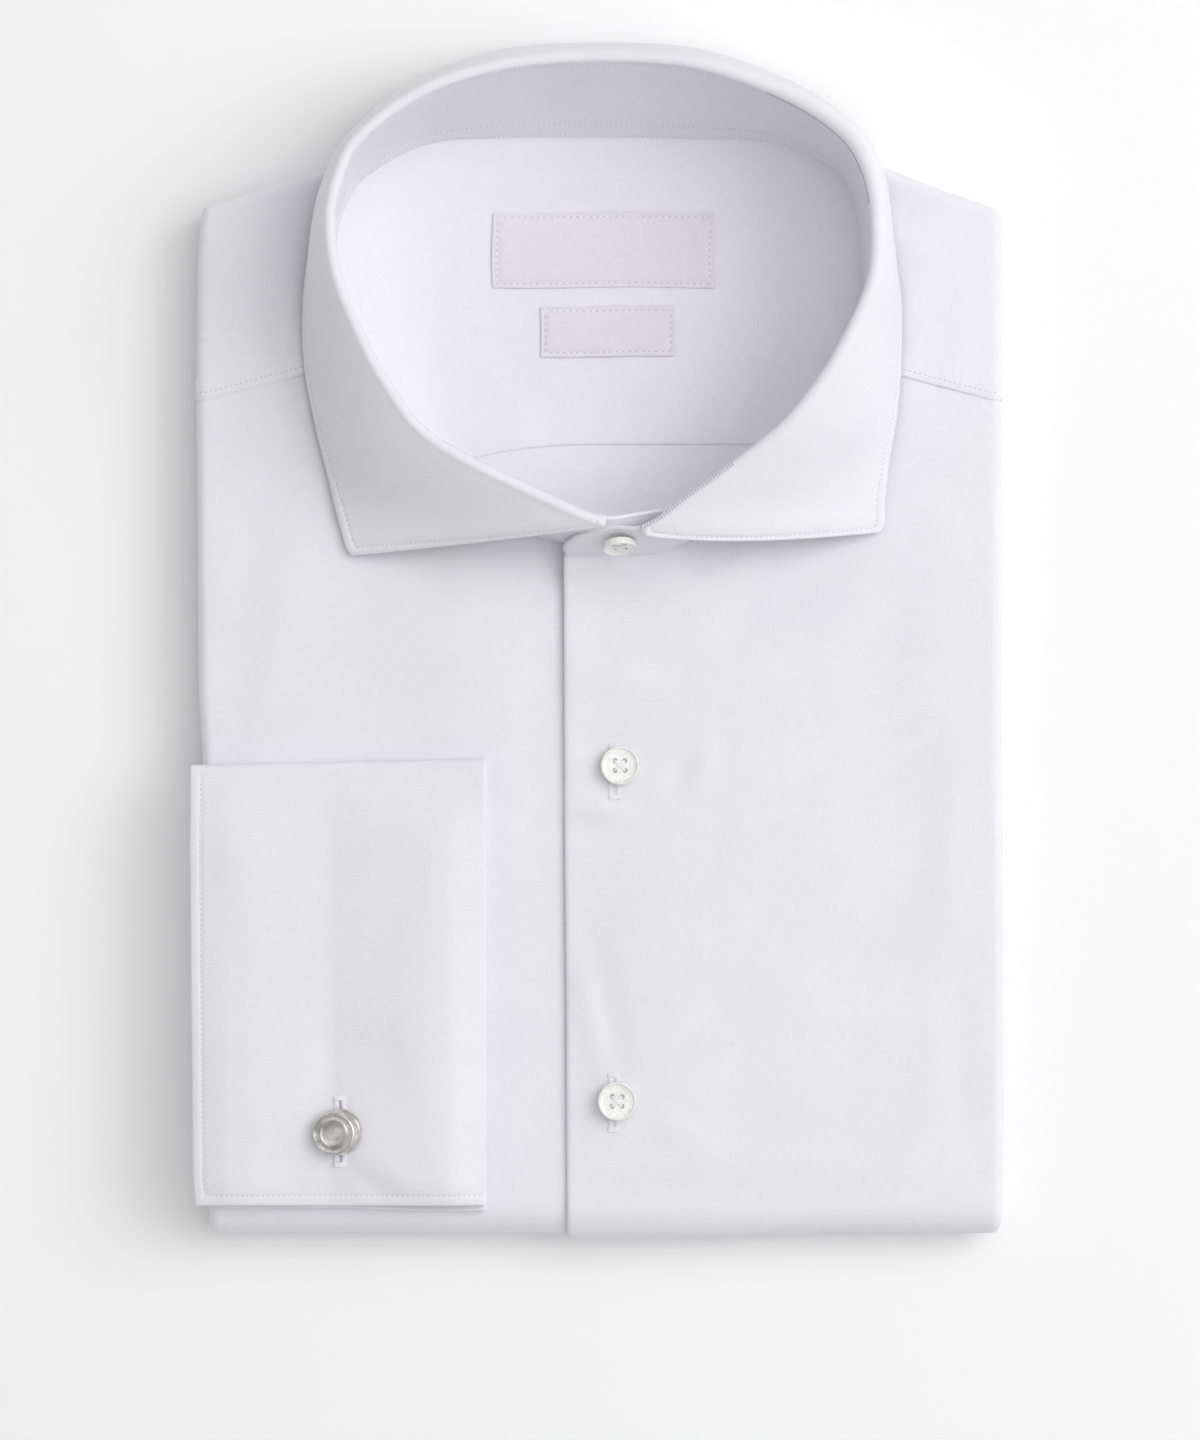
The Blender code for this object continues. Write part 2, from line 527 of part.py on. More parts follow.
def cuff_lift(x, y):
    """Extra height of the cuff where it lies over the link's toggle."""
    away = np.hypot(x - LINK[0], y - LINK[1]) / LINK_REACH
    return LINK_LIFT * np.where(away < 1, 0.5 + 0.5 * np.cos(math.pi * np.minimum(away, 1)), 0.0)


def slot_cutter(name, centre, size, low, high):
    """Round-ended cutter that stands through the cuff."""
    half = size[0] / 2
    reach = size[1] / 2 - half
    turn = np.linspace(0, math.pi, 7)
    ring = [(centre[0] + half * math.cos(a), centre[1] + reach + half * math.sin(a)) for a in turn]
    ring += [(centre[0] - half * math.cos(a), centre[1] - reach - half * math.sin(a)) for a in turn]
    count = len(ring)
    points = [(x, y, low) for x, y in ring] + [(x, y, high) for x, y in ring]
    faces = [tuple(range(count)), tuple(range(2 * count - 1, count - 1, -1))]
    faces += [(i, (i + 1) % count, (i + 1) % count + count, i + count) for i in range(count)]
    made = solid(name, points, faces, ((0.5, 0.5, 0.5), 0.5))
    made.hide_render = True
    made.display_type = "WIRE"
    return made


def cuff():
    """Double cuff: a wall turned back at the hand, bent round the long fold, ends kissing."""
    level = CORE_TOP + PANEL + GAP + CUFF_HALF
    shared = np.array([-96.0, -86.0, -79.0, -71.9, -65.0, -58.0, -47.0])
    hand = np.linspace(math.pi / 2, -math.pi / 2, 5)[1:-1]
    straight = np.array([0, 7.0, 13.0, 20.5, 28.0, 35.0, 47.0, 75.0, 110.0])
    long_fold = np.linspace(0, math.pi, 6)
    fold_middle = (CUFF_HALF + CUFF_INSIDE) / 2
    grids = []
    for face in (0.0, PLY):
        bend = (CUFF_HALF - CUFF_INSIDE) / 2 - face
        end_x = CUFF_HAND - (CUFF_HALF - CUFF_INSIDE) / 2
        run = len(shared) + 2
        count_u = 2 * run + len(hand)
        half = np.concatenate([np.full(run, CUFF_HALF - face), fold_middle + bend * np.sin(hand),
                               np.full(run, CUFF_INSIDE + face)])
        over = np.concatenate([np.zeros(run), bend * np.cos(hand), np.zeros(run)])
        lines = []
        for side in (-1, 1):                         # lower layers, then upper layers
            steps = straight if side < 0 else straight[::-1]
            for step in steps:
                lines.append((side, step, None))
            if side < 0:
                lines += [(0, None, a) for a in long_fold]
        grid = np.zeros((count_u, len(lines), 3))
        for j, (side, step, a) in enumerate(lines):
            y_row = CUFF_TOP[0] - CUFF_HALF if step is None else CUFF_END + step - 0.9 * (side < 0)
            free = np.interp(y_row, CUFF_LEFT[:, 0], CUFF_LEFT[:, 1])
            if side < 0:
                free = CUFF_INNER - 0.6
            if side == 0:
                free += (CUFF_INNER - 0.6 - free) * (1 - a / math.pi)
            x = np.concatenate([[free], shared, np.full(len(hand) + 2, end_x), shared[::-1],
                                [CUFF_INNER]]) + over
            top_y = np.interp(x, [CUFF_LEFT[-1, 1], CUFF_HAND], CUFF_TOP) - CUFF_HALF
            if side == 0:
                y = top_y + half * math.sin(a)
                z = level - half * math.cos(a)
            else:
                y = np.full(count_u, y_row)
                z = level + side * half
            z = z + cuff_lift(x, y)
            grid[:, j] = np.stack([x, y, z], -1)
        grids.append(grid)
    made = wall("cuff", grids[0], grids[1], ((0.76, 0.76, 0.80), 0.72))
    cutter = slot_cutter("buttonhole_cutter", LINK, SLOT, CORE_TOP, CORE_TOP + 20.0)
    cut = made.modifiers.new("buttonhole", "BOOLEAN")
    cut.operation = "DIFFERENCE"
    cut.solver = "EXACT"
    cut.object = cutter


def sleeve():
    """Flattened sleeve: out of the cuff, over the pack's side and down it."""
    ys = np.linspace(-154.0, -38.0, 9)
    level = CORE_TOP + PANEL + GAP + CUFF_HALF
    grids = []
    for face in (0.0, SLEEVE_WALL):
        radius = EDGE_ROUND - face
        lines = []
        side = side_x(LEFT_SIDE, ys) - SLEEVE_WALL - 0.5
        top = level + SLEEVE_WALL / 2
        middle = side + EDGE_ROUND
        for x in (CUFF_INNER - 0.5, CUFF_INNER - 1.4):
            lines.append(np.stack([np.full(len(ys), x), ys, np.full(len(ys), top - face)], -1))
        for a in np.linspace(0, math.pi / 2, 5):
            lines.append(np.stack([middle - radius * math.sin(a), ys,
                                   np.full(len(ys), top - EDGE_ROUND + radius * math.cos(a))], -1))
        for z in (12.0, 6.0, 0.8):
            lines.append(np.stack([side + face, ys, np.full(len(ys), z)], -1))
        grids.append(np.stack(lines))
    wall("sleeve", grids[0], grids[1], ((0.74, 0.74, 0.78), 0.75))


def turned(name, rows, segments, finish, origin=BOX_CENTRE):
    """Loft of round sections. columns of rows: centre x, y, z, radius, tilt about y in degrees."""
    turn = np.linspace(0, 2 * math.pi, segments, endpoint=False)
    points = []
    for x, y, z, radius, tilt in rows:
        lean = math.radians(tilt)
        across = radius * np.cos(turn)
        points.append(np.stack([x + across * math.cos(lean), y + radius * np.sin(turn),
                                z - across * math.sin(lean)], -1))
    points = np.concatenate(points)
    ids = np.arange(segments)
    after = np.roll(ids, -1)
    faces = [tuple(ids[::-1].tolist())]
    for k in range(len(rows) - 1):
        a = k * segments
        faces += np.stack([ids + a, after + a, after + a + segments, ids + a + segments], -1).tolist()
    faces.append(tuple((ids + (len(rows) - 1) * segments).tolist()))
    return solid(name, points, faces, finish, origin)


def button(name, radius, place):
    """Four-hole button with a raised rim, turned about its own axis and put in place."""
    rows = [(0, 0, height * BUTTON_HEIGHT, share * radius, 0) for share, height in BUTTON_PROFILE]
    made = turned(name, rows, 24, ((0.80, 0.81, 0.76), 0.25), (0.0, 0.0, 0.0))
    holes = []
    faces = []
    count = HOLE_SIDES
    turn = np.linspace(0, 2 * math.pi, count, endpoint=False)
    for sx in (-0.5, 0.5):
        for sy in (-0.5, 0.5):
            base = len(holes)
            for z in (-1.0, BUTTON_HEIGHT + 1.0):
                for a in turn:
                    holes.append((sx * HOLE_PITCH + HOLE_RADIUS * math.cos(a),
                                  sy * HOLE_PITCH + HOLE_RADIUS * math.sin(a), z))
            faces.append(tuple(range(base + count - 1, base - 1, -1)))
            faces.append(tuple(range(base + count, base + 2 * count)))
            faces += [(base + i, base + (i + 1) % count, base + (i + 1) % count + count,
                       base + i + count) for i in range(count)]
    cutter = solid(name + "_holes", holes, faces, ((0.5, 0.5, 0.5), 0.5), (0.0, 0.0, 0.0))
    cutter.hide_render = True
    cutter.display_type = "WIRE"
    cut = made.modifiers.new("holes", "BOOLEAN")
    cut.operation = "DIFFERENCE"
    cut.solver = "EXACT"
    cut.object = cutter
    for thing in (made, cutter):
        thing.matrix_world = Matrix.Translation(-Vector(BOX_CENTRE) * MM) @ place


def buttons():
    """Two buttons on the over front, and the collar button on the over tab."""
    for number, (x, y) in enumerate(FRONT_BUTTONS, 1):
        base = CORE_TOP + 2 * PANEL + SHANK
        button(f"front_button_{number}", BUTTON_RADIUS, Matrix.Translation(Vector((x, y, base)) * MM))
    tab = collar_run(np.array([23.2, 23.3, 23.4]))
    foot = tab[1, 0:3]
    head = tab[1, 3:6] - [0, 0, STAND_DROP]
    up = Vector(head - foot).normalized()
    along = Vector((*(tab[0, 0:2] - tab[2, 0:2]), 0.0)).normalized()
    out = along.cross(up).normalized()
    if out.y > 0:
        out = -out
    along = up.cross(out)
    middle = Vector(foot + (head - foot) * COLLAR_BUTTON_RISE) + out * (BAND + 0.8 + SHANK + 0.2)
    turn = Matrix((along, up, out)).transposed().to_4x4()
    button("collar_button", COLLAR_BUTTON_RADIUS, Matrix.Translation(middle * MM) @ turn)


def cufflink():
    """Link: a face turned in one with its post, and the toggle under the cuff."""
    steel = ((0.55, 0.55, 0.54), 0.3, 1.0)
    x, y = LINK
    base = CORE_TOP + PANEL + GAP
    turned("cufflink_toggle", [(x, y, base, 0.9 * TOGGLE_RADIUS, 0),
                               (x, y, base + 0.3, TOGGLE_RADIUS, 0),
                               (x, y, base + 0.9, TOGGLE_RADIUS, 0),
                               (x, y, base + TOGGLE_HEIGHT, 0.9 * TOGGLE_RADIUS, 0)], 24, steel)
    top = base + 2 * CUFF_HALF + LINK_LIFT
    rows = [(x, y, base + TOGGLE_HEIGHT + GAP, POST_RADIUS, 0), (x, y, top + GAP, POST_RADIUS, 0)]
    rows += [(x + dx, y + dy, top + height, share * LINK_FACE_RADIUS, tilt)
             for dx, dy, height, share, tilt in LINK_PROFILE]
    turned("cufflink_face", rows, 28, steel)


def labels():
    """Two bare woven labels, made from the inner yoke's points and moved out."""
    for name, (x0, x1, y0, y1) in LABELS.items():
        x, y = np.meshgrid(np.linspace(x0, x1, 9), np.linspace(y0, y1, 4))
        low = hidden_top(x, y) + PANEL + GAP
        outer = np.stack([x, y, low + LABEL_WALL], -1)
        wall(name, outer, np.stack([x, y, low], -1), ((0.78, 0.78, 0.82), 0.5))


folded_layers()
fronts()
yoke()
inside_panel("yoke_lining", np.array([57.7, 66, 76, 87, 97, 107, 116, 124, 130, 135, 138.5,
                                      141.3]), ((0.72, 0.72, 0.77), 0.75))
inside_panel("back", np.array([33.0, 36.5, 41.0, 46.0, 52.0, 57.4]), ((0.72, 0.72, 0.77), 0.75))
collar()
cuff()
sleeve()
buttons()
cufflink()
labels()
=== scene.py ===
import math

import bpy
import numpy as np
from mathutils import Matrix, Vector


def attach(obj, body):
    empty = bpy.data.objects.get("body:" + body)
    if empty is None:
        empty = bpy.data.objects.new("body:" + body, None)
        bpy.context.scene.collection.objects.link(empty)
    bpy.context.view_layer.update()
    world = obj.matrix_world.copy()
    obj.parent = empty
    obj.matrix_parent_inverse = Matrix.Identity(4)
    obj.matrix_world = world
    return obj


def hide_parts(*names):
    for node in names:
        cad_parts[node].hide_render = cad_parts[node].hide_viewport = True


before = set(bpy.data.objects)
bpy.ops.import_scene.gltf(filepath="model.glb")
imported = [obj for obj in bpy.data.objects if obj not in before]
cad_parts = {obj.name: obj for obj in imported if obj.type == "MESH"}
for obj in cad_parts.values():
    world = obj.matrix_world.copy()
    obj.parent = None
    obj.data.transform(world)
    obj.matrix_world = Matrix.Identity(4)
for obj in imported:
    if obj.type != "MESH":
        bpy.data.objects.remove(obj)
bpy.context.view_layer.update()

# ----------------------------------------
# Hidden folds. The back, the side panels, the spare sleeve and the tails of a white cotton shirt,
# folded behind the fronts. Only their stacked folds show, down both sides of the pack.
MM = 0.001
BOX_CENTRE = np.array([0.2, 1.4, 0.0])      # lengths are millimetres, taken from this point
NECK = np.array([0.4, 83.0])                # middle of the neck opening
CORE_TOP, WELL_FLOOR = 17.0, 5.0            # hidden layers, and their well inside the neck
NECK_DISH = 28.0                            # the shoulders sink to the neck seam in this width
ROLL_Y = -156.9                             # the fold at the bottom of the pack
GAP = 0.3                                   # air between two layers

# The collar, from the under tab round the back to the over tab.
# columns: seam x, y, z (foot of the band), fold x, y, z (crest), edge x, y, z (edge of the fall)
STATIONS = np.array([
    (16.1, 29.8, 17.3, 15.0, 37.4, 40.0, -60.0, 24.0, 21.0),
    (0.1, 29.3, 17.3, 2.0, 35.4, 44.0, -68.7, 25.1, 21.0),
    (-19.0, 32.0, 17.3, -13.7, 41.4, 46.0, -72.4, 35.0, 21.0),
    (-48.0, 44.2, 17.3, -44.1, 56.9, 49.5, -75.3, 46.5, 21.0),
    (-63.3, 57.4, 16.5, -56.4, 71.4, 50.5, -79.1, 61.5, 20.5),
    (-70.9, 75.7, 15.3, -64.9, 87.3, 51.5, -82.3, 79.2, 19.5),
    (-74.0, 95.5, 13.8, -70.4, 102.0, 52.0, -82.4, 98.1, 18.5),
    (-73.3, 113.0, 12.6, -72.0, 116.8, 52.0, -79.7, 115.2, 17.3),
    (-70.0, 124.5, 11.5, -69.3, 129.3, 51.0, -76.0, 129.0, 16.6),
    (-63.5, 132.3, 10.5, -64.0, 138.5, 50.0, -70.5, 139.8, 13.5),
    (-47.2, 140.7, 8.6, -47.6, 150.6, 48.0, -54.8, 155.6, 5.0),
    (-24.7, 142.2, 7.6, -25.8, 157.8, 46.0, -29.0, 167.0, 2.6),
    (-0.2, 142.2, 7.3, -0.2, 160.1, 45.0, -0.2, 169.4, 2.0),
    (26.0, 141.9, 7.6, 26.0, 158.2, 46.0, 28.9, 167.4, 2.6),
    (48.5, 140.9, 8.6, 49.4, 150.0, 48.0, 56.6, 156.0, 5.0),
    (65.9, 133.5, 10.5, 65.4, 139.8, 50.0, 72.8, 140.6, 13.5),
    (71.8, 125.0, 11.5, 72.0, 130.0, 51.0, 78.8, 130.0, 16.6),
    (73.7, 113.0, 12.6, 74.6, 117.6, 52.0, 81.5, 115.7, 17.3),
    (74.2, 96.9, 13.8, 74.1, 101.5, 52.0, 84.8, 98.1, 18.5),
    (71.4, 77.1, 15.3, 68.1, 86.4, 51.5, 85.0, 79.2, 19.5),
    (64.0, 58.8, 16.5, 59.6, 72.0, 50.5, 83.8, 64.3, 20.5),
    (50.2, 44.6, 17.3, 47.9, 58.6, 49.5, 81.8, 53.0, 21.0),
    (27.0, 30.6, 18.6, 25.4, 41.7, 46.0, 80.2, 41.5, 21.0),
    (13.2, 25.6, 18.8, 11.9, 32.7, 44.0, 78.0, 31.2, 21.0),
    (-8.3, 24.0, 18.8, -8.8, 28.4, 35.0, 60.0, 30.0, 21.0),
])

# Sides of the pack. columns: y, x of the outer surface
LEFT_SIDE = np.array([(-166.0, -108.5), (-158.0, -109.0), (-33.0, -110.7), (-15.0, -111.8),
                      (12.7, -112.1), (69.0, -112.5), (108.0, -112.2), (123.0, -111.2)])
RIGHT_SIDE = np.array([(-166.0, 112.6), (-158.0, 113.4), (-128.0, 113.9), (-15.0, 113.2),
                       (69.0, 113.2), (122.0, 113.3)])

# Shoulder fold. columns: x, y
SHOULDER = np.array([(-110.4, 123.2), (-92.0, 129.0), (-74.4, 134.4), (-52.0, 145.0), (-26.0, 149.0),
                     (0.7, 150.0), (27.0, 149.0), (53.0, 145.0), (77.5, 135.5), (93.7, 128.5),
                     (112.6, 122.0)])


def smooth(t):
    """Ease from 0 to 1 with level ends."""
    t = np.clip(t, 0.0, 1.0)
    return t * t * (3.0 - 2.0 * t)


def through(rows, at):
    """Catmull-Rom curve through the rows of a table, read at fractional row numbers."""
    at = np.clip(np.asarray(at, float), 0, len(rows) - 1)
    i = np.minimum(at.astype(int), len(rows) - 2)
    f = (at - i)[..., None]
    a, b, c, d = (rows[np.clip(i + k, 0, len(rows) - 1)] for k in (-1, 0, 1, 2))
    return 0.5 * (2 * b + (c - a) * f + (2 * a - 5 * b + 4 * c - d) * f ** 2
                  + (3 * b - a - 3 * c + d) * f ** 3)


seam_run = through(STATIONS[1:24], np.linspace(0, 22, 353))
seam_away = seam_run[:, 0:2] - NECK
seam_angle = np.arctan2(seam_away[:, 1], seam_away[:, 0])
seam_radius = np.hypot(seam_away[:, 0], seam_away[:, 1])
seam_height = np.minimum(seam_run[:, 2], CORE_TOP + GAP) - GAP


def round_neck(values, angle):
    """A value along the neck seam, read at an angle round the neck."""
    return np.interp(angle, seam_angle, values, period=2 * math.pi)


def hidden_top(x, y):
    """Height of the hidden layers: level, eased down to the neck seam, and a well inside it."""
    dx, dy = x - NECK[0], y - NECK[1]
    angle, away = np.arctan2(dy, dx), np.hypot(dx, dy)
    radius, height = round_neck(seam_radius, angle), round_neck(seam_height, angle)
    outside = height + (CORE_TOP - height) * smooth((away - radius) / NECK_DISH)
    start = 0.62 + 0.2 * np.clip(-np.sin(angle), 0, 1)
    inside = WELL_FLOOR + (height - WELL_FLOOR) * smooth((away / radius - start) / (1 - start))
    return np.where(away > radius, outside, inside)


def read(table, at):
    """A two-column table's second value, read at a value of its first."""
    return np.interp(at, table[:, 0], table[:, 1])


def linear(code):
    """sRGB hex colour to linear RGBA."""
    v = np.array([int(code[i:i + 2], 16) / 255 for i in (1, 3, 5)])
    return (*np.where(v <= 0.04045, v / 12.92, ((v + 0.055) / 1.055) ** 2.4), 1.0)


def set_up(node, **settings):
    """Set a shader node's attributes or, named with _ for a space, its sockets."""
    for key, value in settings.items():
        if key in node.bl_rna.properties:
            setattr(node, key, value)
        else:
            node.inputs[key.replace("_", " ")].default_value = value


def add(tree, kind, links=(), values=(), **settings):
    """One shader node with its settings. values are (socket, value) pairs for sockets that go by
    number, and links are (socket, output) pairs that feed it."""
    node = tree.nodes.new("ShaderNode" + kind)
    set_up(node, **settings)
    for socket, value in values:
        node.inputs[socket].default_value = value
    for socket, source in links:
        tree.links.new(source, node.inputs[socket])
    return node


def new_finish(name):
    """A new material, its node tree and its shader."""
    made = bpy.data.materials.new(name)
    made.use_nodes = True
    return made, made.node_tree, made.node_tree.nodes["Principled BSDF"]


TWILL_HEIGHT = 0.012                        # how high the ribs of the weave stand


def cotton(name, light, shade, weave=0.8):
    """Pressed white cotton twill: matt, with a faint sheen. Diagonal ribs weave mm apart, about
    twice the real cloth's so that they show; slubs a few mm long, and a slow drift between two
    whites."""
    made, tree, shader = new_finish(name)
    along = add(tree, "UVMap", uv_map="cloth").outputs["UV"]
    place = add(tree, "TexCoord").outputs["Object"]
    rib = add(tree, "Mapping", [("Vector", along)], Rotation=(0, 0, math.radians(35)))
    twill = add(tree, "TexWave", [("Vector", rib.outputs["Vector"])], bands_direction="X",
                Scale=0.314 / (weave * MM), Distortion=0.6, Detail=1.0)
    warp = add(tree, "Mapping", [("Vector", along)], Scale=(2200, 260, 1))
    weft = add(tree, "Mapping", [("Vector", along)], Scale=(300, 2000, 1))
    slub_a = add(tree, "TexNoise", [("Vector", warp.outputs["Vector"])], Scale=1.0, Detail=2.0)
    slub_b = add(tree, "TexNoise", [("Vector", weft.outputs["Vector"])], Scale=1.0, Detail=2.0)
    slub = add(tree, "Math", [(0, slub_a.outputs["Fac"]), (1, slub_b.outputs["Fac"])],
               operation="ADD")
    drift = add(tree, "TexNoise", [("Vector", place)], Scale=38.0, Detail=3.0, Roughness=0.6)
    both = add(tree, "Math", [(0, slub.outputs[0]), (1, drift.outputs["Fac"])],
               operation="ADD")
    share = add(tree, "MapRange", [("Value", both.outputs[0])], From_Min=1.15, From_Max=1.85)
    tone = add(tree, "Mix", [("Factor", share.outputs[0])], [(6, linear(light)), (7, linear(shade))],
               data_type="RGBA")
    tree.links.new(tone.outputs[2], shader.inputs["Base Color"])
    height = add(tree, "Math", [(0, twill.outputs["Fac"]), (1, slub.outputs[0])],
                 operation="ADD")
    relief = add(tree, "Bump", [("Height", height.outputs[0])], Strength=1.0,
                 Distance=TWILL_HEIGHT * MM)
    tree.links.new(relief.outputs["Normal"], shader.inputs["Normal"])
    set_up(shader, Roughness=0.82, Specular_IOR_Level=0.35, Sheen_Weight=0.12, Sheen_Roughness=0.4)
    return made


def piece(name, points, faces, finish, replaces=(), uv=None, angle=60):
    """A finished piece from points in millimetres: smooth mesh at the origin that rides the body."""
    mesh = bpy.data.meshes.new(name)
    mesh.from_pydata(((points - BOX_CENTRE) * MM).tolist(), [], faces)
    if uv is not None:
        corner = np.zeros(len(mesh.loops), int)
        mesh.loops.foreach_get("vertex_index", corner)
        mesh.uv_layers.new(name="cloth").data.foreach_set("uv", (uv * MM)[corner].ravel())
    mesh.shade_smooth()
    mesh.set_sharp_from_angle(angle=math.radians(angle))
    mesh.materials.append(finish)
    made = bpy.data.objects.new(name, mesh)
    bpy.context.scene.collection.objects.link(made)
    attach(made, "root")
    if replaces:
        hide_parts(*replaces)
    return made


WHITE_COTTON = cotton("white_cotton_twill", "#EAE9EE", "#E4E3E9")

# The stack of hidden folds from the top down. columns: top and bottom as a share of the pack's
# height, how far in the fold stands
LAYERS = [(1.0, 0.70, 2.6), (0.68, 0.55, 0.5), (0.54, 0.42, 1.1), (0.41, 0.30, 0.3),
          (0.29, 0.20, 0.8), (0.19, 0.09, 0.2)]
FOLD_ROUND = 1.5                            # a fold's nose stands this far out of the groove
BASE_HEIGHT = 1.5                           # the stack's underside, over the tails


def tube_faces(rings, around):
    """Quads between neighbouring closed rings of points, and the caps of the two ends."""
    ids = np.arange(rings * around).reshape(rings, around)
    after = np.roll(ids, -1, 1)
    quads = np.stack([ids[:-1], after[:-1], after[1:], ids[1:]], -1).reshape(-1, 4)
    return quads, np.stack([ids[0, ::-1], ids[-1]])


def folds():
    """Rings round the pack's outline, shrunk by each fold's half-round nose and by a slow wave, so
    that no fold runs dead straight; closed by flatter rings to the middle above and below."""
    ys = np.linspace(-156.0, 117.0, 132)
    xs = np.linspace(-110.4, 112.6, 90)[1:-1]
    left = np.stack([read(LEFT_SIDE, ys), ys, 1 + 0 * ys, 0 * ys], -1)
    top = np.stack([xs, read(SHOULDER, xs), 0 * xs, 0 * xs - 1], -1)
    right = np.stack([read(RIGHT_SIDE, ys), ys, 0 * ys - 1, 0 * ys], -1)[::-1]
    low = np.linspace(105.0, -101.0, 60)
    base = np.stack([low, ROLL_Y + 0 * low, 0 * low, 0 * low + 1], -1)
    line = np.concatenate([left, top, right, base])
    side = np.concatenate([0 * ys + 1, 0 * xs, 0 * ys + 1, 0 * low])
    along = np.cumsum(np.linalg.norm(np.roll(line[:, :2], 1, 0) - line[:, :2], axis=1))
    height = hidden_top(line[:, 0] + 4 * line[:, 2], line[:, 1] + 4 * line[:, 3]) - 0.2
    rings = []
    for k, (high, deep, inset) in enumerate(LAYERS):
        wave = (0.35 * np.sin(along / (17.0 + 4 * k) + 2.1 * k) + 0.2 * np.sin(along / 7.3 + k))
        for t in np.linspace(-1, 1, 7):
            share = (high + deep) / 2 - t * (high - deep) / 2
            far = inset + FOLD_ROUND * (1 - math.sqrt(1 - 0.98 * t * t)) + wave * side + 0.3
            far = np.where(side > 0, far, np.minimum(far, 1.6) + 1.5)
            rings.append(np.stack([line[:, 0] + far * line[:, 2], line[:, 1] + far * line[:, 3],
                                   share * height], -1))
    start, base_ring = rings[0], rings[-1]
    base_middle = NECK * [1, 0]
    for f in (0.97, 0.7, 0.3):
        plan = base_middle + (base_ring[:, :2] - base_middle) * f
        rings.append(np.column_stack([plan, np.full(len(line), BASE_HEIGHT)]))
    inner = []
    for f in np.linspace(0.02, 0.97, 34) ** 1.2:
        plan = NECK + (start[:, :2] - NECK) * f
        inner.append(np.column_stack([plan, hidden_top(plan[:, 0], plan[:, 1]) - 0.8]))
    rings = inner + rings
    size = len(line)
    quads, caps = tube_faces(len(rings), size)
    faces = quads[:, ::-1].tolist() + caps[:, ::-1].tolist()
    points = np.concatenate(rings)
    uv = np.stack([np.tile(along, len(rings)), np.repeat(np.arange(len(rings)) * 0.9, size)], -1)
    for level in (slice(0, len(inner) * size), slice(-3 * size, None)):
        uv[level] = points[level, :2]
    return piece("hidden_folds", points, faces, WHITE_COTTON, ["folded_layers"], uv)


folds()

# ----------------------------------------
# The two fronts. One ply of the shirting each, pressed flat, turned down over the pack's sides
# and round its bottom fold, then lying under it as the tails. The wearer's left front, with the
# buttonholes, lies on top; its edge is a turned-in facing with no band stitched on.
PLY, CLOTH, BAND = 0.35, 1.2, 1.3           # walls: one ply, a solid panel, the collar band
PANEL = GAP + CLOTH                         # what a panel adds to the height
EDGE_ROUND = 3.0                            # radius of the fold at the pack's side
ROLL, ROLL_Z = 7.0, 10.0                    # bottom fold: radius of what it goes round, height
UNDER_EDGE, STEP_WIDTH = 20.0, 50.0         # edge of the under front, and the ease beside it
FACING = 31.5                               # width of the turned-in facing
SEAM_Y = 69.4                               # the front yoke seams reach the sides here
TAIL_Y = 58.0                               # the hem of the tails, under the pack

# The rolled-under front edge, from its lowest point up. columns: in from the edge, below the face
HEM = np.array([(2.6, 0.85), (1.9, 0.85), (1.2, 0.85), (0.45, 0.74), (0.1, 0.45), (0.35, 0.1)])

# Soft relief pressed into the fronts. columns: x, y of the middle, half width along and across,
# angle of its length from +X in degrees, height
FRONT_RELIEF = np.array([
    (-36.0, -12.0, 78.0, 36.0, 94.0, 1.8), (-82.0, -8.0, 64.0, 30.0, 95.0, 0.5),
    (-16.0, -30.0, 60.0, 11.0, 90.0, -0.5), (-8.0, -108.0, 80.0, 19.0, 89.0, -1.2),
    (-98.0, 25.0, 48.0, 10.0, 85.0, -0.35), (-50.0, 26.0, 24.0, 10.0, 120.0, -0.45),
    (-70.0, 42.0, 30.0, 9.0, 20.0, -0.35), (-88.0, 6.0, 44.0, 7.0, 78.0, 0.25),
    (6.0, -10.0, 20.0, 9.0, 2.0, 1.2), (4.0, 8.5, 24.0, 9.0, 8.0, -0.7),
    (3.0, -28.0, 15.0, 6.0, 4.0, -0.55), (-2.0, -45.0, 15.0, 6.0, -8.0, 0.8),
    (-1.0, -53.0, 15.0, 6.0, 4.0, -0.7), (22.5, -36.0, 10.0, 6.0, 75.0, -0.5),
    (29.0, -33.0, 14.0, 7.0, 82.0, 0.4), (-3.0, -101.0, 32.0, 6.0, 103.0, 0.7),
    (3.5, -103.0, 26.0, 6.0, 104.0, -0.4), (20.0, -118.0, 18.0, 6.0, 34.0, -0.6),
    (17.0, -110.0, 20.0, 6.0, 32.0, 0.5), (22.0, -136.0, 18.0, 7.0, -35.0, 0.45),
    (52.0, 12.0, 28.0, 7.0, 24.0, -0.7), (57.0, 21.0, 26.0, 7.0, 20.0, 0.5),
    (36.0, 20.0, 22.0, 8.0, 35.0, 0.6), (100.0, -60.0, 50.0, 12.0, 84.0, 0.5),
    (84.0, -36.0, 76.0, 19.0, 94.0, -0.55), (60.0, -76.0, 84.0, 20.0, 88.0, 0.45),
    (103.0, -116.0, 40.0, 9.0, 95.0, -0.45), (92.0, -128.0, 30.0, 10.0, 70.0, 0.4),
    (92.0, 44.0, 32.0, 10.0, 110.0, 0.45), (38.0, -112.0, 56.0, 16.0, 99.0, -0.4),
    (50.0, -146.5, 66.0, 10.0, 1.0, 0.7), (30.0, -60.0, 40.0, 12.0, 84.0, -0.3),
])

fold_radius = np.hypot(seam_run[:, 3] - NECK[0], seam_run[:, 4] - NECK[1])
seam_lean = (fold_radius - seam_radius) / (seam_run[:, 5] - seam_run[:, 2])


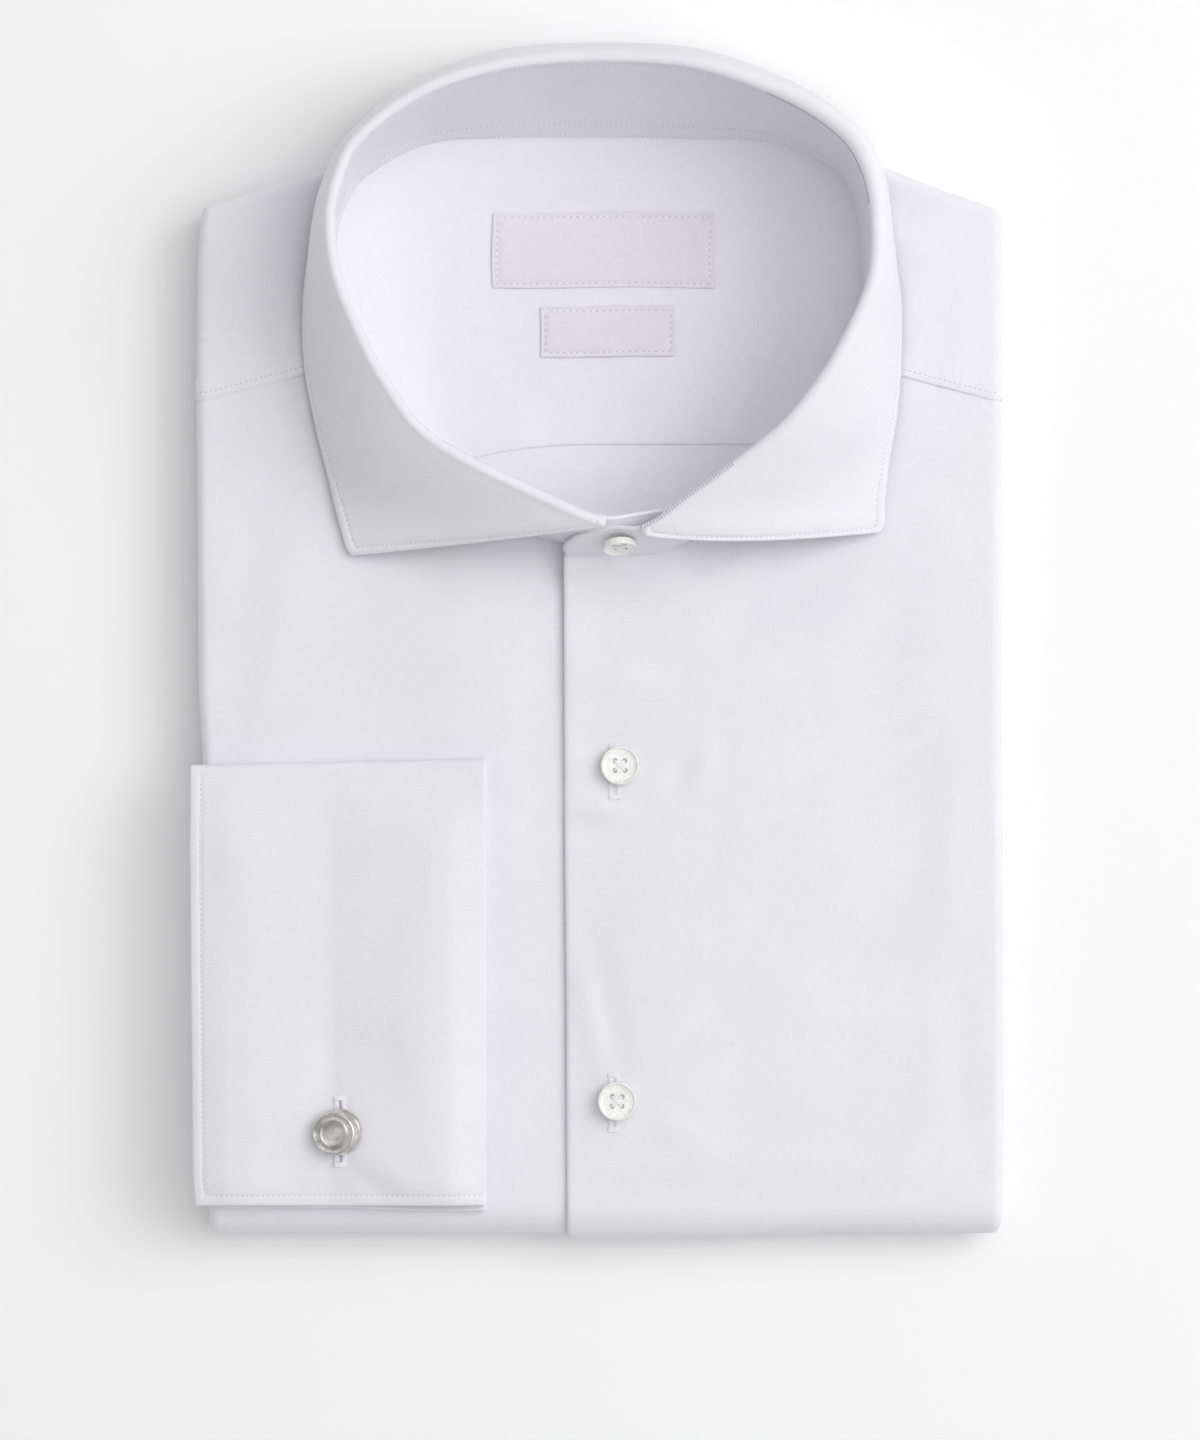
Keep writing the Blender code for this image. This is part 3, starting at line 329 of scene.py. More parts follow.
def run(grid, axis):
    """Distance along each line of a grid from its first point."""
    step = np.linalg.norm(np.diff(grid, axis=axis), axis=2)
    return np.concatenate([np.zeros_like(step.take([0], axis)), np.cumsum(step, axis)], axis)


def facing(grid, toward=(0, 0, 1)):
    """Unit normals of a grid, all turned to the side that looks toward a direction."""
    normal = np.cross(np.gradient(grid, axis=1), np.gradient(grid, axis=0))
    normal /= np.maximum(np.linalg.norm(normal, axis=2, keepdims=True), 1e-9)
    return normal * np.sign(np.sum(normal * toward))


def cloth(name, top, thick, finish, replaces=(), toward=(0, 0, 1)):
    """One ply or band of cloth: the grid of its outer face, the same grid a thickness in along its
    normals, and a half-round rim between their four edges."""
    normal = facing(top, toward)
    low = top - normal * thick
    rows, cols = top.shape[:2]
    ids = np.arange(rows * cols).reshape(rows, cols)
    a, b, c, d = (part.ravel() for part in (ids[:-1, :-1], ids[:-1, 1:], ids[1:, 1:], ids[1:, :-1]))
    rim = np.concatenate([ids[0, :-1], ids[:-1, -1], ids[-1, :0:-1], ids[:0:-1, 0]])
    edge = top.reshape(-1, 3)[rim]
    up = normal.reshape(-1, 3)[rim]
    out = np.cross(np.roll(edge, -1, 0) - np.roll(edge, 1, 0), up)
    out /= np.maximum(np.linalg.norm(out, axis=1, keepdims=True), 1e-9)
    middle = cols // 2
    out *= np.sign(np.dot(out[middle], top[0, middle] - top[1, middle]))
    centre = edge - up * thick / 2
    loops = [centre + thick / 2 * (math.cos(t) * up + math.sin(t) * out)
             for t in np.radians([40, 90, 140])]
    count, size = rows * cols, len(rim)
    chain = [rim] + [2 * count + k * size + np.arange(size) for k in range(3)] + [rim + count]
    faces = [np.stack([a, b, c, d], -1), np.stack([d, c, b, a], -1) + count]
    for one, two in zip(chain[:-1], chain[1:]):
        faces.append(np.stack([np.roll(one, -1), one, two, np.roll(two, -1)], -1))
    faces = np.concatenate(faces)
    raw = np.cross(top[rows // 2, 1] - top[rows // 2, 0], top[rows // 2 + 1, 0] - top[rows // 2, 0])
    if np.dot(raw, normal[rows // 2, 0]) < 0:
        faces = faces[:, ::-1]
    uv = np.stack([run(top, 1), run(top, 0)], -1).reshape(-1, 2)
    points = np.concatenate([top.reshape(-1, 3), low.reshape(-1, 3), *loops])
    uv = np.concatenate([uv, uv, uv[rim], uv[rim], uv[rim]])
    return piece(name, points, faces.tolist(), finish, replaces, uv)


def neck_edge(angle, side):
    """Where panels meet the neck: under the band's outer face (side 1), or its inner one (-1)."""
    lean = np.maximum(side * round_neck(seam_lean, angle), 0)
    away = BAND - 0.1 if side > 0 else 1.0
    radius = round_neck(seam_radius, angle) + away + side * 1.2 * lean
    return NECK[0] + radius * np.cos(angle), NECK[1] + radius * np.sin(angle)


def pressed(x, y, table, low, high):
    """Sum of the table's long soft humps and troughs, eased out below low and above high in y."""
    total = np.zeros(np.shape(x))
    for at_x, at_y, length, width, angle, height in table:
        turn = math.radians(angle)
        along = (x - at_x) * math.cos(turn) + (y - at_y) * math.sin(turn)
        across = (y - at_y) * math.cos(turn) - (x - at_x) * math.sin(turn)
        across = across + 0.04 * width * np.sin(along / (0.31 * length))
        total += height * smooth(1 - np.abs(along) / length) * smooth(1 - np.abs(across) / width)
    return total * smooth((y - low) / 10) * smooth((high - y) / 6)


def front_path(x, y, lift, turn):
    """A point on a front: over the hidden layers, or a turn round the bottom fold, or under it."""
    level = np.stack([x, y, hidden_top(x, np.maximum(y, ROLL_Y)) + lift], -1)
    folded = np.stack([x, ROLL_Y - (ROLL + lift) * np.sin(turn),
                       ROLL_Z + (ROLL + lift) * np.cos(turn)], -1)
    return np.where((turn > 0)[..., None], folded, level)


def neck_line(first, last, seam_at):
    """Top edge of a front as y at x: along the neck, then down the yoke seam to the side. All three
    are angles round the neck in degrees."""
    neck_x, neck_y = neck_edge(np.radians(np.linspace(first, last, 90)), 1)
    order = np.argsort(neck_x)
    seam_x, seam_y = neck_edge(np.radians(seam_at), 1)
    far = abs(read(RIGHT_SIDE if seam_x > 0 else LEFT_SIDE, SEAM_Y)) - EDGE_ROUND

    def line(x):
        along = np.interp(x, neck_x[order], neck_y[order])
        seam = np.interp(np.abs(x), [abs(seam_x), far], [seam_y, SEAM_Y]) + 1.0
        return np.where(np.abs(x) > abs(seam_x), seam, np.minimum(along, seam))
    return line


def front(name, node, side, edge_x, top_y, raised, under):
    """Grid of a front. Rows run from the neck to the bottom fold, round it and back under the pack;
    columns run from the rolled-under front edge to the side fold and in below it. Height is the
    hidden layers' plus the panel's, the overlap's and the pressed relief's."""
    columns, rows = 78, 128
    out = np.sign(side[0, 1])
    round_off = np.linspace(0, math.pi / 2, 8)[1:]
    tuck = np.array([(0.0, 5.6), (-0.3, 6.2), (-1.0, 6.5), (-4.0, 6.6)])
    share = np.concatenate([0 * HEM[:, 0], np.linspace(0.012, 1, columns), 0 * round_off + 1,
                            0 * tuck[:, 0] + 1])
    over = np.concatenate([HEM[:, 0], np.zeros(columns), EDGE_ROUND * np.sin(round_off),
                           EDGE_ROUND + tuck[:, 0]])
    drop = np.concatenate([HEM[:, 1], np.zeros(columns), EDGE_ROUND * (1 - np.cos(round_off)),
                           tuck[:, 1]])
    down = np.linspace(0, 1, rows)
    turns = np.linspace(0, math.pi, 18)[1:]
    beyond = np.linspace(0, 1, 60)[1:]
    turn = np.zeros((rows + len(turns), len(share)))
    turn[rows:] = turns[:, None]
    near = edge_x(np.full(len(share), SEAM_Y))
    far = read(side, SEAM_Y) - out * EDGE_ROUND
    start = top_y(near + share * (far - near))
    y = np.full(turn.shape, ROLL_Y)
    y[:rows] = start + (ROLL_Y - start) * down[:, None]
    first = edge_x(y)
    last = read(side, y) - out * EDGE_ROUND
    plan = first + share * (last - first)
    swell = pressed(plan, y, FRONT_RELIEF, ROLL_Y, 44.0) * smooth((out * (last - plan)) / 14)
    lift = PANEL + raised(plan, y) - drop + swell
    point = front_path(plan, y, lift, turn)
    point[..., 0] += out * over
    point[..., 2] = np.maximum(point[..., 2], 0.03)
    tail = np.repeat(point[-1:], len(beyond), 0)
    flat = point[-1, :, 0]
    hem_y = TAIL_Y - 46.0 * smooth((np.abs(flat) - 40.0) / 75.0)
    tail[..., 1] = ROLL_Y + (hem_y - ROLL_Y) * beyond[:, None]
    tail[..., 2] += (under - tail[..., 2]) * smooth(beyond[:, None] / 0.12)
    tail[..., 0] -= out * 3.5 * smooth((np.abs(flat) - 60) / 45) * smooth(beyond[:, None] / 0.1)
    return cloth(name, np.concatenate([point, tail]), PLY, WHITE_COTTON, [node])


def left_front_lift(x, y):
    """The over front lies a panel higher over the other one, eased down beyond its edge, with the
    inner edge of its facing pressed through as a faint step. Below the collar its own edge stands
    off the under front, and it rises to the neck seam and more steeply to the foot of the tab."""
    overlap = PANEL * (1 - smooth((x - UNDER_EDGE - 1.0) / STEP_WIDTH))
    edge = 0.6 * smooth((y + 48.0) / 60.0) * (1 - smooth((x + 10.0) / 13.0)) * smooth((26.0 - y) / 8)
    to_seam = 1.7 * smooth((y - 11.0) / 14.0) * (1 - smooth((x - 14.0) / 16.0))
    to_tab = 2.0 * smooth((y - 16.0) / 8.0) * (1 - smooth((x - 3.0) / 11.0))
    inner_step = 0.1 * (1 - smooth((x + 9.4 - FACING + 1.0) / 2.0))
    return overlap + edge + to_seam + to_tab + inner_step


under_line = neck_line(184, 300, 183)
over_line = neck_line(230, 356, -3)
right_front = front("right_front", "front_right", LEFT_SIDE, lambda y: 0 * y + UNDER_EDGE,
                    under_line, lambda x, y: 0 * x, 0.9)
left_front = front("left_front", "front_left", RIGHT_SIDE,
                   lambda y: np.interp(y, [-166.0, -99.0, -60, 20.0], [-8.6, -8.9, -9.3, -9.6]),
                   lambda x: np.where(x < 14.0, 24.7 + 0.03 * (x + 8.3), over_line(x)),
                   left_front_lift, 0.42)

# ----------------------------------------
# Stitching thread. White polyester, lockstitched: short bright grains in a shallow groove.
THREAD = 0.17                               # half the thread's width


def yarn(name, colour, roughness):
    """Spun polyester sewing thread: a soft broken highlight along each stitch."""
    made, tree, shader = new_finish(name)
    place = add(tree, "TexCoord").outputs["Object"]
    fuzz = add(tree, "TexNoise", [("Vector", place)], Scale=2600.0, Detail=1.0)
    tone = add(tree, "MapRange", [("Value", fuzz.outputs["Fac"])], To_Min=0.86, To_Max=1.0)
    tint = add(tree, "Mix", [("Factor", tone.outputs[0])], [(6, linear("#A2A1A9")), (7, linear(colour))],
               data_type="RGBA")
    tree.links.new(tint.outputs[2], shader.inputs["Base Color"])
    relief = add(tree, "Bump", [("Height", fuzz.outputs["Fac"])], Strength=0.6, Distance=0.00003)
    tree.links.new(relief.outputs["Normal"], shader.inputs["Normal"])
    set_up(shader, Roughness=roughness, Sheen_Weight=0.2)
    return made


WHITE_THREAD = yarn("white_polyester_thread", "#EFEEF3", 0.55)
# Painted shade: grains of this darker grey, laid between the stitches, stand for the shade inside the
# needle holes.
HOLE_SHADE_COTTON = yarn("shaded_cotton_in_needle_holes", "#CECCD4", 0.9)


def grains(name, middle, along, up, length, width, finish):
    """Short thread stitches: a five-ring, six-sided grain at each middle, laid along and facing up,
    all in one mesh. length and width may differ from stitch to stitch."""
    rings = np.array([(-0.5, 0.35), (-0.38, 0.8), (0.0, 1.0), (0.38, 0.8), (0.5, 0.35)])
    turn = np.linspace(0, 2 * math.pi, 6, endpoint=False)
    side = np.cross(along, up)
    length = np.broadcast_to(length, len(middle))[:, None, None, None]
    width = np.broadcast_to(width, len(middle))[:, None, None, None]
    ring_x, ring_r = rings[None, :, None, :1], rings[None, :, None, 1:]
    across = side[:, None, None, :] * np.cos(turn)[None, None, :, None] * 1.1
    over = up[:, None, None, :] * np.sin(turn)[None, None, :, None] * 0.8
    points = middle[:, None, None, :] + along[:, None, None, :] * ring_x * length \
        + (across + over) * ring_r * width
    quads, caps = tube_faces(len(rings), len(turn))
    base = np.arange(len(middle))[:, None, None] * len(rings) * len(turn)
    faces = (quads[None] + base).reshape(-1, 4).tolist()
    faces += (caps[None] + base).reshape(-1, len(turn)).tolist()
    if np.sum(np.cross(side, up) * along) < 0:
        faces = [face[::-1] for face in faces]
    return piece(name, points.reshape(-1, 3), faces, finish)


def spread(line, up, pitch):
    """Evenly spaced stitch places along a line: middles, directions and normals."""
    far = np.concatenate([[0], np.cumsum(np.linalg.norm(np.diff(line, axis=0), axis=1))])
    at = np.arange(pitch * 0.6, far[-1] - pitch * 0.3, pitch)
    beside = [np.stack([np.interp(at + step, far, line[:, k]) for k in range(3)], -1)
              for step in (-0.2, 0, 0.2)]
    along = beside[2] - beside[0]
    along /= np.linalg.norm(along, axis=1, keepdims=True)
    normal = np.stack([np.interp(at, far, up[:, k]) for k in range(3)], -1)
    normal -= along * np.sum(normal * along, axis=1, keepdims=True)
    return beside[1], along, normal / np.linalg.norm(normal, axis=1, keepdims=True)


def stitching(name, lines, pitch=1.45, share=0.66, hole_shade=True):
    """Rows of stitches as one piece and, as another, painted shade for the needle holes between them:
    darker grains half a pitch on. Each line is (points, normals); a grain covers share of the pitch
    and is sunk by half its height. Rows seen edge on are made without the painted holes."""
    parts = [spread(line, up, pitch) for line, up in lines if len(line) > 2]
    middle, along, up = (np.concatenate([part[k] for part in parts]) for k in range(3))
    if hole_shade:
        # Painted shade of the needle holes: darker grains half a pitch along, sunk a little.
        holes = middle + along * pitch / 2 - up * 0.07
        grains(name.replace("stitches", "needle_holes"), holes, along, up, pitch * (1.15 - share),
               THREAD * 1.25, HOLE_SHADE_COTTON)
    return grains(name, middle + up * 0.02, along, up, pitch * share, THREAD, WHITE_THREAD)


def inset(grid, normal, axis, distance, end=False):
    """The line that runs a distance in from one edge of a grid, with the normals along it."""
    if end:
        grid, normal = np.flip(grid, axis), np.flip(normal, axis)
    if axis == 0:
        grid, normal = grid.swapaxes(0, 1), normal.swapaxes(0, 1)
    far = run(grid, 1)
    k = np.clip(np.argmax(far >= distance, axis=1), 1, None)
    rows = np.arange(len(grid))
    f = ((distance - far[rows, k - 1]) / np.maximum(far[rows, k] - far[rows, k - 1], 1e-6))[:, None]
    f = np.clip(f, 0, 1)
    return (grid[rows, k - 1] * (1 - f) + grid[rows, k] * f,
            normal[rows, k - 1] * (1 - f) + normal[rows, k] * f)


# ----------------------------------------
# Outer yoke. One ply over the shoulders, turned down over the shoulder fold at the back of the
# pack. Its two front seams lap over the fronts, with the allowance turned under and edge-stitched.
# columns: angle round the neck in degrees, outer x, outer y, how far the edge turns down (0 to 1)
YOKE = np.array([
    (183.0, -112.5, 69.4, 0.0), (177.0, -112.4, 88.0, 0.0), (168.0, -112.2, 108.0, 0.0),
    (162.0, -111.4, 119.0, 0.0), (160.0, -110.4, 123.2, 1.0), (153.5, -92.0, 129.0, 1.0),
    (145.5, -74.4, 134.4, 1.0), (131.0, -52.0, 145.0, 1.0), (112.0, -26.0, 149.0, 1.0),
    (90.0, 0.7, 150.0, 1.0), (68.0, 27.0, 149.0, 1.0), (49.0, 53.0, 145.0, 1.0),
    (34.0, 77.5, 135.5, 1.0), (26.0, 93.7, 128.5, 1.0), (19.5, 112.6, 122.0, 1.0),
    (17.5, 113.3, 118.0, 0.0), (5.0, 113.2, 92.0, 0.0), (-3.0, 113.2, 69.4, 0.0),
])
YOKE_LAP = 0.5                              # the lapped seam stands this far over the front
EDGE_DEPTH = 6.5                            # its sides are turned down by this much
YOKE_RELIEF = np.array([                    # as FRONT_RELIEF
    (-92.0, 92.0, 26.0, 8.0, 100.0, -0.5), (-84.0, 76.0, 15.0, 6.0, 70.0, 0.4),
    (-98.0, 108.0, 18.0, 7.0, 30.0, 0.3), (96.0, 96.0, 26.0, 9.0, 80.0, -0.35),
    (100.0, 78.0, 18.0, 7.0, 60.0, 0.3), (88.0, 112.0, 20.0, 7.0, 140.0, 0.3),
])


def soften(rows, times):
    """Round off a run of rows, in place: each becomes a mean of itself and its neighbours."""
    for _ in range(times):
        rows[1:-1] = 0.25 * rows[:-2] + 0.5 * rows[1:-1] + 0.25 * rows[2:]


def yoke():
    """Rows run from the neck seam out, over the fold's quarter round and down; columns run round
    the back of the neck from one front seam to the other, each seam's edge rolled under."""
    at = np.unique(np.concatenate([np.linspace(0, 3, 30), np.linspace(3, 5, 26),
                                   np.linspace(5, 13, 100), np.linspace(13, 15, 26),
                                   np.linspace(15, 17, 30)]))
    table = np.stack([np.interp(at, np.arange(len(YOKE)), YOKE[:, k]) for k in range(4)], -1)
    soften(table, 3)
    hem = np.array([(-5.0, -0.62), (-1.0, -0.62), (0.55, -0.52), (0.85, -0.28), (0.6, -0.05)])
    shift = np.concatenate([hem[:, 0], 0 * at, hem[::-1, 0]])
    dip = np.concatenate([hem[:, 1], 0 * at, hem[::-1, 1]])
    table = np.concatenate([np.repeat(table[:1], 5, 0), table, np.repeat(table[-1:], 5, 0)])
    at = np.concatenate([np.zeros(5), at, np.full(5, 17.0)])
    neck = np.stack(neck_edge(np.radians(table[:, 0]), 1), -1)
    outer, whole = table[:, 1:3], table[:, 3]
    flat = np.interp(at, [3, 5, 13, 15], [1, 0, 0, 1])[:, None]
    inward = np.stack([-np.sign(outer[:, 0]), 0 * at], -1) * flat + np.array([0, -1.0]) * (1 - flat)
    inward /= np.linalg.norm(inward, axis=1, keepdims=True)
    round_by = np.minimum(EDGE_ROUND, 0.55 * np.linalg.norm(neck - outer, axis=1))
    start = outer + inward * round_by[:, None]
    from_seam = np.minimum(at, 17 - at) * 19.0
    lap = YOKE_LAP * (1 - smooth(from_seam / 12.0)) + dip
    lines = []
    for f in np.linspace(0, 1, 30):
        plan = neck + (start - neck) * f
        plan[:, 1] -= shift
        z = hidden_top(plan[:, 0], plan[:, 1]) + PANEL + lap
        z = z + pressed(plan[:, 0], plan[:, 1], YOKE_RELIEF, 60.0, 145.0) * smooth((1 - f) / 0.2)
        lines.append(np.column_stack([plan, z]))
    level = hidden_top(start[:, 0], start[:, 1]) + PANEL + lap
    for a in np.linspace(0, math.pi / 2, 8)[1:]:
        plan = start - inward * (round_by * math.sin(a))[:, None]
        plan[:, 1] -= shift
        lines.append(np.column_stack([plan, level - round_by * (1 - math.cos(a))]))
    depth = np.where(whole > 0, EDGE_DEPTH + (level - 1.4 - EDGE_DEPTH) * whole, EDGE_DEPTH)
    for f, back in ((0.35, 0), (0.7, 0), (0.93, 0.1), (1.0, 0.6), (1.01, 4.0)):
        plan = start - inward * (round_by - back)[:, None]
        plan[:, 1] -= shift
        lines.append(np.column_stack([plan, level - round_by - (depth - round_by) * f]))
    return np.stack(lines)


yoke_grid = yoke()
outer_yoke = cloth("outer_yoke", yoke_grid, PLY, WHITE_COTTON, ["yoke"])
yoke_up = facing(yoke_grid)
yoke_rows = []
for at_end in (False, True):
    yoke_rows.append(inset(yoke_grid[:33, 4:-4], yoke_up[:33, 4:-4], 1, 1.9, at_end))
stitching("yoke_seam_stitches", yoke_rows)

# ----------------------------------------
# Inside of the neck. The inner yoke is cut double with the outer one; below it is the wrong side
# of the back panel. The inner yoke's lower edge is turned under and sewn over the back.
INSIDE_RELIEF = np.array([                  # as FRONT_RELIEF
    (36.0, 62.0, 26.0, 7.0, 62.0, 1.1), (27.0, 55.0, 24.0, 6.0, 58.0, -0.9),
    (20.0, 52.0, 22.0, 6.0, 66.0, 0.6), (-26.0, 66.0, 24.0, 9.0, 120.0, 0.4),
    (15.3, 98.0, 5.5, 2.2, 96.0, 0.4), (19.6, 97.8, 5.0, 2.0, 84.0, -0.4),
    (23.4, 98.0, 5.0, 2.0, 98.0, 0.4), (28.6, 97.0, 6.0, 2.6, 70.0, 0.35),
    (9.0, 98.2, 4.0, 1.8, 92.0, 0.25), (4.0, 98.0, 4.0, 2.0, 88.0, -0.22),
    (-48.0, 96.0, 28.0, 10.0, 95.0, 0.5), (50.0, 100.0, 30.0, 9.0, 84.0, -0.5),
    (44.0, 84.0, 26.0, 9.0, 70.0, 0.6), (0.0, 76.0, 12.0, 30.0, 90.0, -0.25),
    (8.0, 66.0, 26.0, 8.0, 52.0, -0.4), (-6.0, 130.0, 40.0, 5.0, 2.0, 0.3),
])


def bump(x, middle, width):
    """A soft hump: 1 at the middle, 0 a width away on each side."""
    return smooth(1.0 - np.abs((x - middle) / width))


def inside_panel(ys, dip):
    """Rows at each y run from the neck seam to the neck seam, on the hidden layers' well, and
    their left half sags. dip lowers the rows of an edge that is rolled under. Below the tabs the
    panel rises to their feet."""
    columns = 76
    angle = np.radians(np.linspace(-90, 270, 721))
    seam_x, seam_y = neck_edge(angle, -1)
    right, left = slice(0, 361), slice(360, 721)
    order = np.argsort(seam_y[left])
    left_x = np.interp(ys, seam_y[left][order], seam_x[left][order])
    right_x = np.interp(ys, seam_y[right], seam_x[right])
    share = 0.5 - 0.5 * np.cos(np.linspace(0, math.pi, columns))
    x = left_x[:, None] + share * (right_x - left_x)[:, None]
    y = np.repeat(ys[:, None], columns, 1)
    y = y - 0.0034 * np.minimum(x + 2.0, 0) ** 2 * smooth((74.0 - y) / 16.0)
    swell = pressed(x, y, INSIDE_RELIEF, 32.0, 136.0) * smooth((1 - np.abs(2 * share - 1)) / 0.2)
    swell = swell + 2.4 * smooth((36.0 - y) / 6.0) * bump(x, 11.0, 26.0)
    return np.stack([x, y, hidden_top(x, y) + PANEL + swell + dip[:, None]], -1)


# The inner yoke's lower edge, rolled under. columns: y, height
YOKE_HEM = np.array([(57.2, 0.5), (56.8, 0.42), (56.6, 0.1), (56.9, -0.25), (57.7, -0.3), (62.0, -0.3)])
above_hem = np.linspace(143.1, 57.8, 89)
lining_dip = np.concatenate([0.55 * (1 - smooth((above_hem - 57.8) / 9)), YOKE_HEM[:, 1]])
lining_grid = inside_panel(np.concatenate([above_hem, YOKE_HEM[:, 0]]), lining_dip)
inner_yoke = cloth("inner_yoke", lining_grid, PLY, WHITE_COTTON, ["yoke_lining"])
back_grid = inside_panel(np.linspace(60.0, 30.0, 38), np.zeros(38) - 0.12)
inside_back = cloth("inside_back", back_grid, PLY, WHITE_COTTON, ["back"])

# ----------------------------------------
# Two neck labels. Bare damask-woven satin, heat-cut and sewn down all round by hand-set
# lockstitch, one above the other in the middle of the inner yoke.
# Each label's least and greatest x, then y
LABELS = {"label_large": (-29.5, 32.8, 101.1, 121.9), "label_small": (-16.0, 21.5, 81.6, 95.4)}
LABEL_STITCH = 1.1                          # the stitches run this far in from the edge


def satin(name):
    """Woven polyester satin: smoother than the cotton, fine ribs along the label, a silky gloss
    that is longer across the ribs."""
    made = cotton(name, "#E2E0E5", "#DBD8DE", weave=0.9)
    set_up(made.node_tree.nodes["Principled BSDF"], Roughness=0.5, Anisotropic=0.5, Sheen_Weight=0.3)
    return made


LABEL_SATIN = satin("woven_label_satin")


def label(node, x0, x1, y0, y1):
    """A flat grid over the inner yoke, domed a little, its edge held down by the stitches."""
    x, y = np.meshgrid(np.linspace(x0, x1, 100), np.linspace(y1, y0, 44))
    x = x + 0.25 * np.sin(y / 5.0 + x0)
    y = y + 0.22 * np.sin(x / 9.0 + y0)
    inside = np.minimum(np.minimum(x - x0, x1 - x), np.minimum(y - y0, y1 - y))
    dome = 0.22 * smooth(inside / 4.0) - 0.2 * np.exp(-((inside - LABEL_STITCH) / 0.45) ** 2)
    dome += 0.1 * np.sin(x / 2.1) * smooth((y0 + 5.0 - y) / 5.0)
    grid = np.stack([x, y, hidden_top(x, y) + PANEL + 0.55 + dome], -1)
    made = cloth(node.replace("label", "neck_label"), grid, 0.45, LABEL_SATIN, [node])
    up = facing(grid)
    rows = []
    for axis, end in ((0, False), (0, True), (1, False), (1, True)):
        line, normal = inset(grid, up, axis, LABEL_STITCH, end)
        rows.append((line[2:-2], normal[2:-2]))
    stitching(node + "_stitches", rows, pitch=1.85, share=0.55)


for label_node, label_place in LABELS.items():
    label(label_node, *label_place)

# ----------------------------------------
# Collar band. Two plies of the shirting over a fused interlining, edge-stitched; it stands round
# the neck opening and its over tab buttons across the under one at the front.
STAND_DROP = 2.4                            # the band ends this far below the fold's crest
STAND_BOW = 0.8                             # and bows outward by this much half-way up
BAND_ROWS, BAND_TOP_ROW = (2.2, 7.5), 1.3   # stitches: up from the foot, and down from the top
TAB_LEAN = 2.0                              # the over tab is buttoned back by this much at its top
TAB_ROUND = 6.5                             # radius of the over tab's corner
COLLAR_COTTON = cotton("interlined_cotton_twill", "#E9E8ED", "#E3E2E8")


def band_frame(at):
    """The collar's stations read at fractional rows: foot, crest, edge and the outward way."""
    rows = through(STATIONS, at)
    rows[:, 4] += TAB_LEAN * smooth((at - 23) / 0.4)
    dense = through(STATIONS, np.linspace(0, 24, 481))
    middle = 0.5 * (dense[:, 0:2] + dense[:, 3:5])
    step = np.gradient(middle, axis=0)
    soften(step, 12)
    step = np.stack([np.interp(at, np.linspace(0, 24, 481), step[:, k]) for k in (0, 1)], -1)
    step /= np.linalg.norm(step, axis=1, keepdims=True)
    out = np.stack([-step[:, 1], step[:, 0], 0 * at], -1)
    return rows[:, 0:3], rows[:, 3:6], rows[:, 6:9], out


def band():
    """Rows rise from the seam to just below the crest, bowed out; columns run round the neck. Each
    row of stitches lies in a shallow groove, and the end of the under tab bellies out. The rows
    above the foot stop at 0.34 of the height, so on the low over tab the last of them fall together."""
    at = np.concatenate([np.linspace(0, 1, 24)[:-1], np.linspace(1, 23, 300),
                         np.linspace(23, 24, 24)[1:]])
    foot, crest, _, out = band_frame(at)
    head = crest - [0, 0, STAND_DROP]
    from_end = np.linalg.norm(foot - foot[-1], axis=1)
    corner = TAB_ROUND - np.sqrt(TAB_ROUND ** 2 - np.clip(TAB_ROUND - from_end, 0, TAB_ROUND) ** 2)
    tall = np.linalg.norm(head - foot, axis=1)
    head = foot + (head - foot) * (1 - corner / tall)[:, None]
    tall = tall - corner
    low = (0, 0.4, 0.9, 1.5, 1.9, 2.2, 2.5, 3.0, 4.0, 5.3, 6.4, 7.1, 7.5, 7.9, 8.6)
    shares = [np.minimum(r / tall, 0.34) for r in low]
    shares += [0 * tall + f for f in np.linspace(0.42, 0.88, 9)]
    shares = np.stack(shares + [1 - r / tall for r in (2.2, 1.6, 1.3, 1.0, 0.7, 0.4, 0.0)])
    grid = foot + (head - foot) * shares[..., None]
    grid = grid + out * (STAND_BOW * np.sin(math.pi * shares))[..., None]
    rise = shares * tall
    groove = sum(0.13 * np.exp(-((rise - r) / 0.35) ** 2) for r in BAND_ROWS)
    groove += 0.12 * np.exp(-((tall - rise - BAND_TOP_ROW) / 0.3) ** 2)
    wave = 0.25 * np.sin(at * 2.3) * np.sin(math.pi * shares) + 0.12 * np.sin(at * 6.1 + 1.0) * shares
    belly = 2.2 * bump(at, 1.3, 1.2) * np.sin(math.pi * np.clip(shares / 0.9, 0, 1))
    under_end = 3.0 * smooth(1 - at / 1.5) * (0.55 + 0.45 * smooth(at / 0.5))
    belly += under_end * smooth((1 - shares) / 0.2) * smooth(shares / 0.5)
    grid[..., 0] += 2.0 * smooth(1 - at / 0.5)
    return grid + out * (groove + wave + belly)[..., None], out, at


band_grid, band_out, band_at = band()
collar_band = cloth("collar_band", band_grid, BAND, COLLAR_COTTON,
                    ["collar_stand"], toward=-band_out)
band_up = facing(band_grid, -band_out)
round_back = (band_at > 1.2) & (band_at < 22.8)
behind, behind_up = band_grid[:, round_back], band_up[:, round_back]
band_rows = [inset(behind, behind_up, 0, up_from_foot) for up_from_foot in BAND_ROWS]
band_rows.append(inset(behind, behind_up, 0, BAND_TOP_ROW, True))
stitching("collar_band_stitches", band_rows)
tab = band_at > 22.6
tab_face, tab_up_out = (band_grid - band_up * BAND)[:, tab], -band_up[:, tab]
tab_rows = [inset(tab_face, tab_up_out, 0, 1.2, True), inset(tab_face, tab_up_out, 1, 1.3, True)]
stitching("collar_tab_stitches", tab_rows, hole_shade=False)

